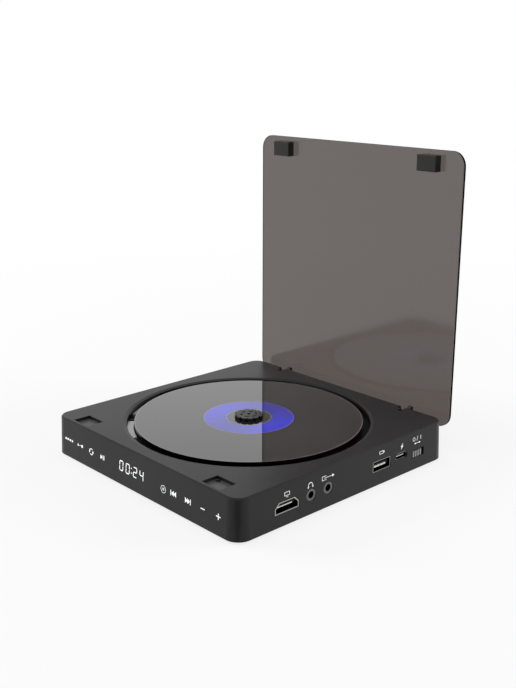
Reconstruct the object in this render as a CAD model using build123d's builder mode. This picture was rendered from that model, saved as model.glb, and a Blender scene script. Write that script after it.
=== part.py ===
from build123d import *
import math
import os

# A portable disc player with a smoked lid that stands open behind a flat square body.
# Millimetres, +Z up, the front with the touch marks faces -Y, the sockets face +X.
# The origin lies on the table, under the middle of the open player's outline.

# Disc and the well round it: the body grows from them
disc_radius = 60.0
disc_thickness = 1.2
disc_hole_radius = 7.5
disc_proud = 0.05
spindle_y = -2.9
well_gap = 4.0
well_radius = disc_radius + well_gap

# Body shell: margins run from the well's wall to the body's bottom edge
side_margin = 9.15
front_margin = 9.2
rear_margin = 9.8
foot_height = 1.0
body_height = 20.6
draft = 2.36
corner_radius = 7.5
wall = 2.0
deck_thickness = 2.0
deck_edge_bevel = 0.6
body_width = 2 * (well_radius + side_margin)
body_depth = 2 * well_radius + front_margin + rear_margin
body_y = spindle_y + (rear_margin - front_margin) / 2
front_y = body_y - body_depth / 2
rear_y = body_y + body_depth / 2
side_x = body_width / 2
deck_z = foot_height + body_height
deck_under_z = deck_z - deck_thickness
draft_slope = math.tan(math.radians(draft))

# Base cover, its feet and screws
cover_thickness = 1.6
cover_gap = 0.15
cover_top_z = foot_height + cover_thickness
foot_radius = 5.0
foot_sink = 0.6
foot_inset = 20.0
post_inset = 9.6
post_radius = 3.0
screw_radius = 1.0
screw_head_radius = 1.9
screw_head_height = 1.1
screw_bite = 7.0
head_sides = 12
post_sides = 8
round_sides = 24
well_sides = 48
hole_gap = 0.1
head_gap = 0.2
cut_past = 1.0

# Well insert
well_depth = 4.2
well_wall = 1.4
well_floor = 1.5
well_bevel_width = 1.7
well_bevel_drop = 0.6
well_floor_top_z = deck_z - well_depth
well_floor_under_z = well_floor_top_z - well_floor
disc_bottom_z = deck_z + disc_proud - disc_thickness
guard_rib_angles = (-137.0, -17.0, 103.0)
guard_rib_width = 2.0
guard_rib_height = 0.8
guard_rib_length = 5.5

# Lid, its pivot and arms: the closed lid stops just inside the body's front and sides
lid_side_inset = 0.85
lid_front_inset = 1.2
lid_overlap = 6.6
lid_thickness = 2.0
lid_corner_radius = 7.5
lid_edge_chamfer = 0.3
lid_stand_off = 3.1
pivot_inset = 3.8
pivot_drop = 3.9
lid_width = body_width - 2 * lid_side_inset
lid_inner_y = rear_y + lid_stand_off
lid_bottom_z = deck_z - lid_overlap
pivot_y = rear_y - pivot_inset
pivot_z = deck_z - pivot_drop
lid_top_z = pivot_z + pivot_y - front_y - lid_front_inset
lid_height = lid_top_z - lid_bottom_z
pin_radius = 0.9
pin_fit = 0.05
hinge_side_insets = (26.85, 25.85)
hinge_xs = (hinge_side_insets[0] - side_x, side_x - hinge_side_insets[1])
arm_width = 2.3
arm_gap = 0.3
eye_radius = 3.1
cheek_front_gap = 0.6
tail_rise = 3.8
tail_rise_length = 1.9
foot_plate_thickness = 1.6
foot_plate_top = 1.8
foot_plate_bottom = 2.4
foot_plate_side = 1.4
cheek_thickness = 2.5
relief_width = 2.6
relief_depth = 3.0

# Lid blocks and the pockets they close into
block_side_inset = 20.95
block_front_inset = 7.85
block_width = 12.0
block_height = 8.1
block_thickness = 4.3
block_chamfer = 0.3
pocket_margin_side = 0.35
pocket_margin_front = 0.9
pocket_margin_rear = 0.5
pocket_depth = 1.6
pocket_floor = 1.2
pocket_boss_margin = 2.2
block_x = side_x - block_side_inset
block_pocket_y = front_y + block_front_inset

# Lid switch under the right pocket
lid_switch_shift = (-4.0, 2.95)
lid_switch_x = block_x + lid_switch_shift[0]
lid_switch_y = block_pocket_y + lid_switch_shift[1]
plunger_radius = 1.0
plunger_hole_gap = 0.35
plunger_fit = 0.06
plunger_recess = 0.05
plunger_travel = 0.8
plunger_bottom_gap = 0.3
switch_floor = 0.8
lid_switch_size = 6.0
lid_switch_height = 3.4
switch_board_thickness = 1.0
switch_board_length = 12.0
switch_board_width = 7.0
peg_radius = 0.8
peg_offset = 4.0
peg_gap = 0.05

# Sockets and switch in the right wall: centre y, centre z above the body's bottom edge
hdmi_y = -45.5
hdmi_z = 9.1
hdmi_width = 15.0
hdmi_height = 5.6
hdmi_step = 2.5
hdmi_shoulder_share = 0.05
hdmi_depth = 12.0
hdmi_wall = 0.5
hdmi_tongue_width = 11.0
hdmi_tongue_thickness = 1.0
hdmi_tongue_rise = 0.5
jack_ys = (-30.0, -18.6)
jack_z = 9.5
jack_nose_radius = 2.95
jack_bore_radius = 1.8
jack_depth = 14.0
jack_body_width = 6.6
jack_rear_wall = 1.0
jack_body_gap = 0.3
usb_y = 19.9
usb_z = 10.0
usb_width = 13.1
usb_height = 5.7
usb_depth = 14.0
usb_wall = 0.4
usb_corner = 0.5
usb_tongue_width = 11.1
usb_tongue_thickness = 1.8
usb_tongue_drop = 0.1
charge_y = 35.1
charge_z = 10.4
charge_width = 9.0
charge_height = 3.3
charge_depth = 7.5
charge_wall = 0.35
charge_tongue_width = 6.6
charge_tongue_thickness = 0.7
tongue_setback = 1.2
socket_gap = 0.25
socket_inset = 0.15
charge_inset = 0.45
leg_length = 1.2
leg_thickness = 0.6
leg_bite = 0.2
slot_y = 48.15
slot_z = 8.4
slot_width = 9.7
slot_height = 4.4
knob_width = 7.4
knob_height = 3.7
knob_side_gap = 0.4
knob_travel = 1.6
knob_proud = 0.1
knob_rib_count = 4
knob_rib_share = (0.6, 0.86)
knob_rib_height = 0.4
knob_thickness = 1.6
stem_width = 2.0
stem_height = 1.8
stem_gap = 0.3
switch_body_depth = 4.2
switch_body_width = 12.0
switch_body_rise = 2.2
switch_body_gap = 1.2

# Main board behind the sockets
board_thickness = 1.2
board_top_rise = hdmi_z - hdmi_height / 2
board_inner_x = 26.0
board_wall_gap = 1.2
board_front_inset = 16.1
board_rear_inset = 13.9
board_front_y = front_y + board_front_inset
board_rear_y = rear_y - board_rear_inset
board_screw_inset = 4.5
board_screw_side_inset = 13.15
board_screw_outer_x = side_x - board_screw_side_inset

# Touch board and display behind the front wall
touch_side_inset = 7.15
touch_half_width = side_x - touch_side_inset
touch_bottom_rise = 3.2
touch_height = 11.0
touch_thickness = 1.0
touch_wall_gap = 0.2
display_x = -5.0
display_z = 10.0
display_width = 23.0
display_height = 8.4
display_gap = 0.2
display_window_depth = 2.8
display_back_depth = 1.8
display_flange_width = 1.5
display_flange_height = 0.8

# Battery in the rear of the base
battery_length = 70.0
battery_width = 30.0
battery_thickness = 6.0
battery_x = -16.0
battery_rear_gap = 8.4
battery_y = rear_y - wall - battery_rear_gap - battery_width / 2
battery_rib = 1.2
battery_rib_height = 3.0
battery_gap = 0.2
battery_chamfer = 0.6

# Drive chassis, hung under the well on rubber dampers
chassis_drop = 14.6
chassis_thickness = 1.6
chassis_right_x = 22.0
chassis_corner = 4.0
chassis_battery_gap = 1.0
chassis_bottom_z = deck_z - chassis_drop
chassis_top_z = chassis_bottom_z + chassis_thickness
battery_front_y = battery_y - battery_width / 2 - battery_rib - battery_gap
chassis_rear = battery_front_y - chassis_battery_gap - spindle_y
damper_side_inset = 10.0
damper_front_margin = 5.0
damper_rear_margin = 4.0
damper_left_x = damper_side_inset - well_radius
damper_right_x = 16.5
damper_front = -well_radius / 2
damper_rear = chassis_rear - damper_rear_margin
chassis_front = damper_front_margin - damper_front
damper_places = (
    (damper_left_x, damper_front),
    (damper_left_x, damper_rear),
    (damper_right_x, damper_front),
    (damper_right_x, damper_rear),
)
damper_radius = 4.2
damper_waist = 3.0
damper_lip = 0.9
damper_bore = 1.6
drive_screw_head_radius = 3.2
drive_screw_head_height = 1.1
drive_screw_shoulder = 1.5
drive_screw_thread = 1.1
drive_screw_bite = 3.2
drive_screw_tip_gap = 0.5
boss_radius = 3.2

# Spindle motor, turntable and hub
shaft_radius = 1.0
shaft_fit = 0.04
shaft_end_gap = 0.4
shaft_hole_gap = 0.6
motor_base_radius = 12.5
motor_base_thickness = 0.8
bush_radius = 2.8
bush_height = 4.0
stator_radius = 8.2
stator_height = 2.5
stator_rise = 0.5
rotor_radius = 10.8
rotor_wall = 0.6
rotor_lift = 0.4
rotor_roof_gap = 0.5
rotor_boss_radius = 4.0
turntable_radius = 14.0
turntable_thickness = 2.0
mat_thickness = 0.5
mat_inner_radius = 9.5
mat_inset = 0.3
seat_gap = 0.05
hub_gap = 0.15
hub_rise = 1.7
hub_notch_count = 12
hub_notch_start = 11.0
hub_notch_width = 1.1
hub_notch_depth = 0.8
hub_slot_count = 6
hub_slot_ring = 3.9
hub_slot_length = 2.2
hub_slot_width = 0.9
hub_slot_depth = 1.4

# Pickup and its rods
pickup_inner_radius = 24.0
outer_track_margin = 2.0
pickup_travel = disc_radius - outer_track_margin - pickup_inner_radius
pickup_half_length = 8.5
pickup_half_width = 13.5
pickup_bottom_rise = 2.8
pickup_top_rise = 8.3
pickup_bottom_z = chassis_bottom_z + pickup_bottom_rise
pickup_top_z = chassis_bottom_z + pickup_top_rise
cover_half_length = 4.2
cover_half_width = 6.5
cover_corner = 1.0
cover_drop = 0.2
cover_top = well_floor_top_z - cover_drop
lens_ring_radius = 2.7
lens_radius = 2.0
lens_ring_height = 0.7
lens_height = 0.5
lens_taper = 35.0
rod_radius = 1.5
rod_offset = 17.5
rod_rise = 5.6
rod_z = chassis_bottom_z + rod_rise
rod_fit = 0.05
bush_wall = 1.7
rod_post_length = 2.4
rod_post_width = 5.6
rod_post_clearance = 0.5
rod_post_roof = 0.6
opening_gap = 3.0
opening_side_gap = 1.0
rod_right_x = -8.0
window_half_width = 9.0
window_end_gap = 0.7
turntable_hole_gap = 1.5

# Sled gears: module, teeth and the rack
gear_module = 0.5
pressure_angle = 20.0
sled_pinion_teeth = 12
reduction_teeth = 30
motor_pinion_teeth = 12
addendum = 0.65 * gear_module
dedendum = 1.0 * gear_module
tooth_thinning = 0.06
mesh_gap = 0.04
gear_x = -19.0
gear_reach = 29.3
rack_rise = 2.6
rack_bottom_z = chassis_bottom_z + rack_rise
rack_thickness = 1.8
rack_end_margin = 4.0
wheel_rise = 5.0
wheel_bottom_z = chassis_bottom_z + wheel_rise
gear_lift = 0.3
clip_gap = 0.2
clip_thickness = 0.5
clip_share = 2.2
wheel_thickness = 1.4
gear_post_radius = 1.0
gear_fit = 0.04
motor_direction = -60.0
motor_can_radius = 5.0
motor_cover_gap = 0.8
motor_can_rise = 3.2
motor_can_bottom_z = cover_top_z + motor_cover_gap
motor_can_top_z = chassis_bottom_z + motor_can_rise
motor_can_fit = 0.02
motor_shaft_gap = 0.8
motor_cup_wall = 1.6
motor_cup_roof = 1.2
motor_shaft_radius = 0.6
motor_shaft_fit = 0.05
motor_shaft_lift = 0.3
pinion_overhang = 0.2


def drawn_in(height):
    # How far the drafted walls have moved inwards at a height above the bottom edge.
    return height * draft_slope


def on_body(z):
    return Plane((0, body_y, z))


def on_spindle(z):
    return Plane((0, spindle_y, z))


def facing_right(y, rise, x):
    # A plane on the right wall: its x runs to the rear, its y runs up, its normal points out.
    return Plane((x, y, foot_height + rise), x_dir=(0, 1, 0), z_dir=(1, 0, 0))


def across_x(x, y=0.0, z=0.0):
    # A plane square to X whose own x runs to the rear and own y runs up.
    return Plane((x, y, z), x_dir=(0, 1, 0), z_dir=(1, 0, 0))


def wall_x(rise):
    # The right wall's outer face at a height above the bottom edge.
    return side_x - drawn_in(rise)


def flat_sided(radius, sides):
    # A many-sided outline for hidden bores: its flats stand at the radius.
    return RegularPolygon(radius, sides, major_radius=False)


def finish(piece, name):
    piece.part.label = name
    export_step(piece.part, f"parts/{name}.step")
    return piece.part


os.makedirs("parts", exist_ok=True)

# Upper housing: deck, drafted side walls, lid pockets, hinge notches and socket cut-outs
post_x = side_x - post_inset
post_ys = (front_y + post_inset, rear_y - post_inset)
post_places = [(x, y) for x in (-post_x, post_x) for y in post_ys]
lane_width = arm_width + 2 * arm_gap
lane_front_y = pivot_y - eye_radius - arm_gap
deck_rear_y = rear_y - drawn_in(body_height)
pocket_length = block_height + pocket_margin_front + pocket_margin_rear
pocket_width = block_width + 2 * pocket_margin_side
pocket_centre_y = block_pocket_y + (pocket_margin_rear - pocket_margin_front) / 2
pocket_floor_z = deck_z - pocket_depth
pocket_under_z = pocket_floor_z - pocket_floor
cheek_front_y = lane_front_y - cheek_front_gap
cheek_bottom_z = pivot_z - eye_radius
cheek_rear_y = rear_y - drawn_in(body_height) - wall / 2
lane_bottom_z = pivot_z - eye_radius - arm_gap


def hdmi_outline(grow):
    # Wide below, stepped in above, as the socket stands in the wall.
    half = hdmi_width / 2 + grow
    low = -hdmi_height / 2 - grow
    high = hdmi_height / 2 + grow
    shoulder = hdmi_height * hdmi_shoulder_share + grow / 2
    top_half = half - hdmi_step
    with BuildLine() as outline:
        Polyline(
            (-half, low),
            (half, low),
            (half, shoulder),
            (top_half, high),
            (-top_half, high),
            (-half, shoulder),
            close=True,
        )
    return outline.line


with BuildPart() as upper_housing:
    with BuildSketch(on_body(foot_height)):
        RectangleRounded(body_width, body_depth, corner_radius)
    extrude(amount=body_height, taper=draft)
    chamfer(upper_housing.faces().sort_by(Axis.Z)[-1].edges(), deck_edge_bevel)
    with BuildSketch(on_body(foot_height)):
        RectangleRounded(body_width - 2 * wall, body_depth - 2 * wall, corner_radius - wall)
    extrude(amount=body_height - deck_thickness, taper=draft, mode=Mode.SUBTRACT)
    # Screw posts in the corners
    with BuildSketch(Plane.XY.offset(cover_top_z)):
        with Locations(*post_places):
            RegularPolygon(post_radius, post_sides)
    extrude(amount=deck_under_z - cover_top_z)
    # Floors of the two lid pockets
    with BuildSketch(Plane.XY.offset(pocket_under_z)):
        with Locations((-block_x, pocket_centre_y), (block_x, pocket_centre_y)):
            Rectangle(pocket_width + 2 * pocket_boss_margin, pocket_length + pocket_floor)
    extrude(amount=deck_under_z - pocket_under_z)
    # Cheeks that carry the hinge pins
    with BuildSketch(Plane.XY.offset(cheek_bottom_z)):
        for x in hinge_xs:
            with Locations((x, (cheek_front_y + cheek_rear_y) / 2)):
                Rectangle(lane_width + 2 * cheek_thickness, cheek_rear_y - cheek_front_y)
    extrude(amount=deck_under_z - cheek_bottom_z)
    # Disc opening with its soft bevel
    with BuildSketch(on_spindle(deck_z)):
        Circle(well_radius)
    extrude(amount=-deck_thickness, mode=Mode.SUBTRACT)
    rim = upper_housing.edges().filter_by(GeomType.CIRCLE).filter_by(
        lambda edge: abs(edge.radius - well_radius) < 0.01
    )
    chamfer(rim.sort_by(Axis.Z)[-1], well_bevel_drop, well_bevel_width)
    # Lid pockets
    with BuildSketch(Plane.XY.offset(deck_z)):
        with Locations((-block_x, pocket_centre_y), (block_x, pocket_centre_y)):
            Rectangle(pocket_width, pocket_length)
    extrude(amount=-pocket_depth, mode=Mode.SUBTRACT)
    with BuildSketch(Plane.XY.offset(pocket_floor_z)):
        with Locations((lid_switch_x, lid_switch_y)):
            Circle(plunger_radius + plunger_hole_gap)
    extrude(amount=-pocket_floor, mode=Mode.SUBTRACT)
    # Pegs that hold the lid switch's board
    with BuildSketch(Plane.XY.offset(pocket_under_z - lid_switch_height - switch_board_thickness)):
        with Locations((lid_switch_x - peg_offset, lid_switch_y), (lid_switch_x + peg_offset, lid_switch_y)):
            RegularPolygon(peg_radius, post_sides)
    extrude(amount=lid_switch_height + switch_board_thickness)
    # Hinge lanes: a narrow slot for each arm, wider in the deck at the rear edge
    with BuildSketch(Plane.XY.offset(lane_bottom_z)):
        for x in hinge_xs:
            with Locations((x, (lane_front_y + rear_y + cut_past) / 2)):
                Rectangle(lane_width, rear_y + cut_past - lane_front_y)
    extrude(amount=deck_z - lane_bottom_z, mode=Mode.SUBTRACT)
    with BuildSketch(Plane.XY.offset(deck_under_z)):
        for x in hinge_xs:
            with Locations((x - lane_width / 2 - relief_width / 2, deck_rear_y)):
                Rectangle(relief_width, 2 * relief_depth)
    extrude(amount=deck_thickness, mode=Mode.SUBTRACT)
    # Bores for the hinge pins
    for x in hinge_xs:
        with BuildSketch(across_x(x - lane_width / 2 - cheek_thickness, pivot_y, pivot_z)):
            Circle(pin_radius)
        extrude(amount=lane_width + 2 * cheek_thickness, mode=Mode.SUBTRACT)
    # Screw holes in the posts
    with BuildSketch(Plane.XY.offset(cover_top_z)):
        with Locations(*post_places):
            RegularPolygon(screw_radius, post_sides)
    extrude(amount=screw_bite + cut_past, mode=Mode.SUBTRACT)
    # Socket cut-outs in the right wall
    with BuildSketch(facing_right(hdmi_y, hdmi_z, side_x - 2 * wall)):
        make_face(hdmi_outline(socket_gap))
    extrude(amount=2 * wall + cut_past, mode=Mode.SUBTRACT)
    for jack_y in jack_ys:
        with BuildSketch(facing_right(jack_y, jack_z, side_x - 2 * wall)):
            Circle(jack_nose_radius + socket_gap)
        extrude(amount=2 * wall + cut_past, mode=Mode.SUBTRACT)
    with BuildSketch(facing_right(usb_y, usb_z, side_x - 2 * wall)):
        Rectangle(usb_width + 2 * socket_gap, usb_height + 2 * socket_gap)
    extrude(amount=2 * wall + cut_past, mode=Mode.SUBTRACT)
    with BuildSketch(facing_right(charge_y, charge_z, side_x - 2 * wall)):
        SlotOverall(charge_width + 2 * socket_gap, charge_height + 2 * socket_gap)
    extrude(amount=2 * wall + cut_past, mode=Mode.SUBTRACT)
    with BuildSketch(facing_right(slot_y, slot_z, side_x - 2 * wall)):
        Rectangle(slot_width, slot_height)
    extrude(amount=2 * wall + cut_past, mode=Mode.SUBTRACT)
finish(upper_housing, "upper_housing")

# Disc well: a glossy tray under the deck, open for the spindle and along the pickup's path
window_left = pickup_inner_radius + pickup_travel + cover_half_length + window_end_gap
turntable_hole_radius = turntable_radius + turntable_hole_gap
boss_bottom_z = chassis_top_z + damper_lip
with BuildPart() as disc_well:
    with BuildSketch(on_spindle(well_floor_under_z)):
        RegularPolygon(well_radius + well_wall, well_sides)
    extrude(amount=deck_under_z - well_floor_under_z)
    with BuildSketch(on_spindle(well_floor_top_z)):
        Circle(well_radius)
    extrude(amount=deck_under_z - well_floor_top_z, mode=Mode.SUBTRACT)
    # Short guard ribs at the foot of the well's wall
    with BuildSketch(on_spindle(well_floor_top_z)):
        for angle in guard_rib_angles:
            with Locations(Rotation(0, 0, angle)):
                with Locations((well_radius - guard_rib_length / 2 + well_wall / 2, 0)):
                    Rectangle(guard_rib_length + well_wall / 2, guard_rib_width)
    extrude(amount=guard_rib_height)
    # Bosses that carry the drive
    with BuildSketch(on_spindle(boss_bottom_z)):
        with Locations(*damper_places):
            RegularPolygon(boss_radius, post_sides)
    extrude(amount=well_floor_under_z - boss_bottom_z)
    with BuildSketch(on_spindle(boss_bottom_z)):
        with Locations(*damper_places):
            RegularPolygon(drive_screw_thread, post_sides)
    extrude(amount=drive_screw_bite + drive_screw_tip_gap, mode=Mode.SUBTRACT)
    with BuildSketch(on_spindle(well_floor_under_z)):
        flat_sided(turntable_hole_radius, round_sides)
        with Locations((-window_left / 2, 0)):
            Rectangle(window_left, 2 * window_half_width)
    extrude(amount=well_floor, mode=Mode.SUBTRACT)
finish(disc_well, "disc_well")

# Base cover with counterbored screw holes, foot recesses and the board's standoffs
foot_x = side_x - foot_inset
foot_ys = (front_y + foot_inset, rear_y - foot_inset)
foot_places = [(x, y) for x in (-foot_x, foot_x) for y in foot_ys]
board_bottom_z = foot_height + board_top_rise - board_thickness
board_top_z = board_bottom_z + board_thickness
board_outer_x = side_x - wall - board_wall_gap
board_screw_xs = (board_inner_x + board_screw_inset, board_screw_outer_x)
board_screw_ys = (board_front_y + board_screw_inset, board_rear_y - board_screw_inset)
board_screw_places = [(x, y) for x in board_screw_xs for y in board_screw_ys]
with BuildPart() as base_cover:
    with BuildSketch(on_body(foot_height)):
        RectangleRounded(
            body_width - 2 * (wall + cover_gap) - 2 * drawn_in(cover_thickness),
            body_depth - 2 * (wall + cover_gap) - 2 * drawn_in(cover_thickness),
            corner_radius - wall,
        )
    extrude(amount=cover_thickness)
    with BuildSketch(Plane.XY.offset(cover_top_z)):
        with Locations(*board_screw_places):
            RegularPolygon(post_radius, post_sides)
        with Locations((battery_x, battery_y)):
            Rectangle(
                battery_length + 2 * (battery_gap + battery_rib),
                battery_width + 2 * (battery_gap + battery_rib),
            )
            Rectangle(
                battery_length + 2 * battery_gap, battery_width + 2 * battery_gap, mode=Mode.SUBTRACT
            )
    extrude(amount=battery_rib_height)
    with BuildSketch(Plane.XY.offset(cover_top_z)):
        with Locations(*board_screw_places):
            RegularPolygon(post_radius, post_sides)
    extrude(amount=board_bottom_z - cover_top_z)
    with BuildSketch(Plane.XY.offset(board_bottom_z)):
        with Locations(*board_screw_places):
            RegularPolygon(screw_radius, post_sides)
    extrude(amount=-(board_bottom_z - cover_top_z), mode=Mode.SUBTRACT)
    with BuildSketch(Plane.XY.offset(foot_height)):
        with Locations(*foot_places):
            RegularPolygon(foot_radius, round_sides)
    extrude(amount=foot_sink, mode=Mode.SUBTRACT)
    with BuildSketch(Plane.XY.offset(foot_height)):
        with Locations(*post_places):
            RegularPolygon(screw_radius + hole_gap, post_sides)
    extrude(amount=cover_thickness, mode=Mode.SUBTRACT)
    with BuildSketch(Plane.XY.offset(foot_height)):
        with Locations(*post_places):
            RegularPolygon(screw_head_radius + head_gap, head_sides)
    extrude(amount=screw_head_height, mode=Mode.SUBTRACT)
finish(base_cover, "base_cover")

with BuildPart() as rubber_feet:
    with BuildSketch(Plane.XY):
        with Locations(*foot_places):
            RegularPolygon(foot_radius, round_sides)
    extrude(amount=foot_height + foot_sink)
finish(rubber_feet, "rubber_feet")


def screws(places, head_z, up, head_radius, head_height, shank_radius, length):
    # Plain machine screws: heads at head_z, shanks running up or down from them.
    sign = 1 if up else -1
    with BuildPart() as group:
        with BuildSketch(Plane.XY.offset(head_z)):
            with Locations(*places):
                RegularPolygon(head_radius, head_sides)
        extrude(amount=sign * head_height)
        with BuildSketch(Plane.XY.offset(head_z)):
            with Locations(*places):
                RegularPolygon(shank_radius, post_sides)
        extrude(amount=sign * (head_height + length))
    return group


base_screws = screws(
    post_places, foot_height, True, screw_head_radius, screw_head_height, screw_radius,
    cover_thickness - screw_head_height + screw_bite,
)
finish(base_screws, "base_screws")

# Main board on its standoffs, its screws and chips
with BuildPart() as main_board:
    with BuildSketch(Plane.XY.offset(board_bottom_z)):
        with Locations(((board_inner_x + board_outer_x) / 2, (board_front_y + board_rear_y) / 2)):
            Rectangle(board_outer_x - board_inner_x, board_rear_y - board_front_y)
    extrude(amount=board_thickness)
    with BuildSketch(Plane.XY.offset(board_bottom_z)):
        with Locations(*board_screw_places):
            RegularPolygon(screw_radius + hole_gap, post_sides)
    extrude(amount=board_thickness, mode=Mode.SUBTRACT)
finish(main_board, "main_board")

board_screws = screws(
    board_screw_places, board_top_z + screw_head_height, False, screw_head_radius, screw_head_height,
    screw_radius, board_thickness + board_bottom_z - cover_top_z,
)
finish(board_screws, "board_screws")

chips = (
    (44.0, -4.0, 17.0, 17.0, 1.4),
    (44.0, 20.0, 11.0, 8.0, 1.1),
    (36.0, -28.0, 8.0, 10.0, 1.2),
)
with BuildPart() as board_chips:
    for chip_x, chip_y, chip_length, chip_width, chip_height in chips:
        with BuildSketch(Plane.XY.offset(board_top_z)):
            with Locations((chip_x, chip_y)):
                Rectangle(chip_length, chip_width)
        extrude(amount=chip_height)
finish(board_chips, "board_chips")

# Sockets: drawn metal shells with their tongues, and two round jacks
hdmi_face_x = wall_x(hdmi_z) - socket_inset
with BuildPart() as hdmi_shell:
    with BuildSketch(facing_right(hdmi_y, hdmi_z, hdmi_face_x)):
        make_face(hdmi_outline(0))
    extrude(amount=-hdmi_depth)
    with BuildSketch(facing_right(hdmi_y, hdmi_z, hdmi_face_x)):
        make_face(hdmi_outline(-hdmi_wall))
    extrude(amount=-(hdmi_depth - hdmi_wall), mode=Mode.SUBTRACT)
finish(hdmi_shell, "hdmi_shell")

with BuildPart() as hdmi_tongue:
    with BuildSketch(facing_right(hdmi_y, hdmi_z + hdmi_tongue_rise, hdmi_face_x - hdmi_depth + hdmi_wall)):
        Rectangle(hdmi_tongue_width, hdmi_tongue_thickness)
    extrude(amount=hdmi_depth - hdmi_wall - tongue_setback)
finish(hdmi_tongue, "hdmi_tongue")


def leg_places(centre_y, half_spread, face_x, depth):
    # Four legs carry a socket that stands above the board.
    leg_xs = (face_x - depth + 2 * leg_length, face_x - 2 * leg_length)
    return [(x, centre_y + side * half_spread) for x in leg_xs for side in (-1, 1)]


usb_face_x = wall_x(usb_z) - socket_inset
with BuildPart() as usb_shell:
    with BuildSketch(facing_right(usb_y, usb_z, usb_face_x)):
        RectangleRounded(usb_width, usb_height, usb_corner)
    extrude(amount=-usb_depth)
    with BuildSketch(facing_right(usb_y, usb_z, usb_face_x)):
        Rectangle(usb_width - 2 * usb_wall, usb_height - 2 * usb_wall)
    extrude(amount=-(usb_depth - usb_wall), mode=Mode.SUBTRACT)
    with BuildSketch(Plane.XY.offset(board_top_z)):
        with Locations(*leg_places(usb_y, usb_width / 2 - leg_thickness, usb_face_x, usb_depth)):
            Rectangle(leg_length, leg_thickness)
    extrude(amount=foot_height + usb_z - usb_height / 2 + leg_bite - board_top_z)
finish(usb_shell, "usb_shell")

with BuildPart() as usb_tongue:
    with BuildSketch(facing_right(usb_y, usb_z - usb_tongue_drop, usb_face_x - usb_depth + usb_wall)):
        Rectangle(usb_tongue_width, usb_tongue_thickness)
    extrude(amount=usb_depth - usb_wall - tongue_setback)
finish(usb_tongue, "usb_tongue")

charge_face_x = wall_x(charge_z) - charge_inset
with BuildPart() as charge_shell:
    with BuildSketch(facing_right(charge_y, charge_z, charge_face_x)):
        SlotOverall(charge_width, charge_height)
    extrude(amount=-charge_depth)
    with BuildSketch(facing_right(charge_y, charge_z, charge_face_x)):
        SlotOverall(charge_width - 2 * charge_wall, charge_height - 2 * charge_wall)
    extrude(amount=-(charge_depth - charge_wall), mode=Mode.SUBTRACT)
    charge_spread = (charge_width - charge_height) / 2 - leg_thickness
    with BuildSketch(Plane.XY.offset(board_top_z)):
        with Locations(*leg_places(charge_y, charge_spread, charge_face_x, charge_depth)):
            Rectangle(leg_length, leg_thickness)
    extrude(amount=foot_height + charge_z - charge_height / 2 + leg_bite - board_top_z)
finish(charge_shell, "charge_shell")

with BuildPart() as charge_tongue:
    with BuildSketch(facing_right(charge_y, charge_z, charge_face_x - charge_depth + charge_wall)):
        Rectangle(charge_tongue_width, charge_tongue_thickness)
    extrude(amount=charge_depth - charge_wall - tongue_setback / 2)
finish(charge_tongue, "charge_tongue")

# Round jacks: a ringed nose in the wall and a block that stands on the board
jack_face_x = wall_x(jack_z) - socket_inset
jack_body_face_x = side_x - wall - drawn_in(foot_height + jack_z + jack_body_width) - jack_body_gap
for jack_y, jack_name in zip(jack_ys, ("headphone_jack", "av_jack")):
    with BuildPart() as jack:
        with BuildSketch(facing_right(jack_y, jack_z, jack_face_x)):
            Circle(jack_nose_radius)
        extrude(amount=-jack_depth)
        with BuildSketch(Plane.XY.offset(board_top_z)):
            with Locations(((jack_body_face_x + jack_face_x - jack_depth) / 2, jack_y)):
                Rectangle(jack_body_face_x - jack_face_x + jack_depth, jack_body_width)
        extrude(amount=foot_height + jack_z + jack_nose_radius - board_top_z)
        with BuildSketch(facing_right(jack_y, jack_z, jack_face_x)):
            Circle(jack_bore_radius)
        extrude(amount=-(jack_depth - jack_rear_wall), mode=Mode.SUBTRACT)
    finish(jack, jack_name)

# Power switch: a ribbed knob on a slide, its body on the board
knob_rest_y = slot_y - slot_width / 2 + knob_side_gap + knob_width / 2
knob_face_x = wall_x(slot_z) + knob_proud
switch_body_face_x = wall_x(slot_z) - wall - switch_body_gap
switch_body_top_z = foot_height + slot_z + switch_body_rise
with BuildPart() as switch_knob:
    with BuildSketch(facing_right(knob_rest_y, slot_z, knob_face_x - knob_thickness)):
        Rectangle(knob_width, knob_height)
    extrude(amount=knob_thickness - knob_rib_height)
    with BuildSketch(facing_right(knob_rest_y, slot_z, knob_face_x - knob_rib_height)):
        with GridLocations(knob_width / knob_rib_count, 1, knob_rib_count, 1):
            Rectangle(knob_width / knob_rib_count * knob_rib_share[0], knob_height * knob_rib_share[1])
    extrude(amount=knob_rib_height)
    with BuildSketch(facing_right(knob_rest_y, slot_z, knob_face_x - knob_thickness)):
        Rectangle(stem_width, stem_height)
    extrude(amount=-(knob_face_x - knob_thickness - switch_body_face_x + switch_body_depth / 2))
finish(switch_knob, "switch_knob")

with BuildPart() as power_switch:
    with BuildSketch(Plane.XY.offset(board_top_z)):
        with Locations((switch_body_face_x - switch_body_depth / 2, slot_y)):
            Rectangle(switch_body_depth, switch_body_width)
    extrude(amount=switch_body_top_z - board_top_z)
    with BuildSketch(facing_right(knob_rest_y + knob_travel / 2, slot_z, switch_body_face_x)):
        Rectangle(stem_width + knob_travel + 2 * stem_gap, stem_height + 2 * stem_gap)
    extrude(amount=-(switch_body_depth / 2 + stem_gap), mode=Mode.SUBTRACT)
finish(power_switch, "power_switch")

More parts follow.
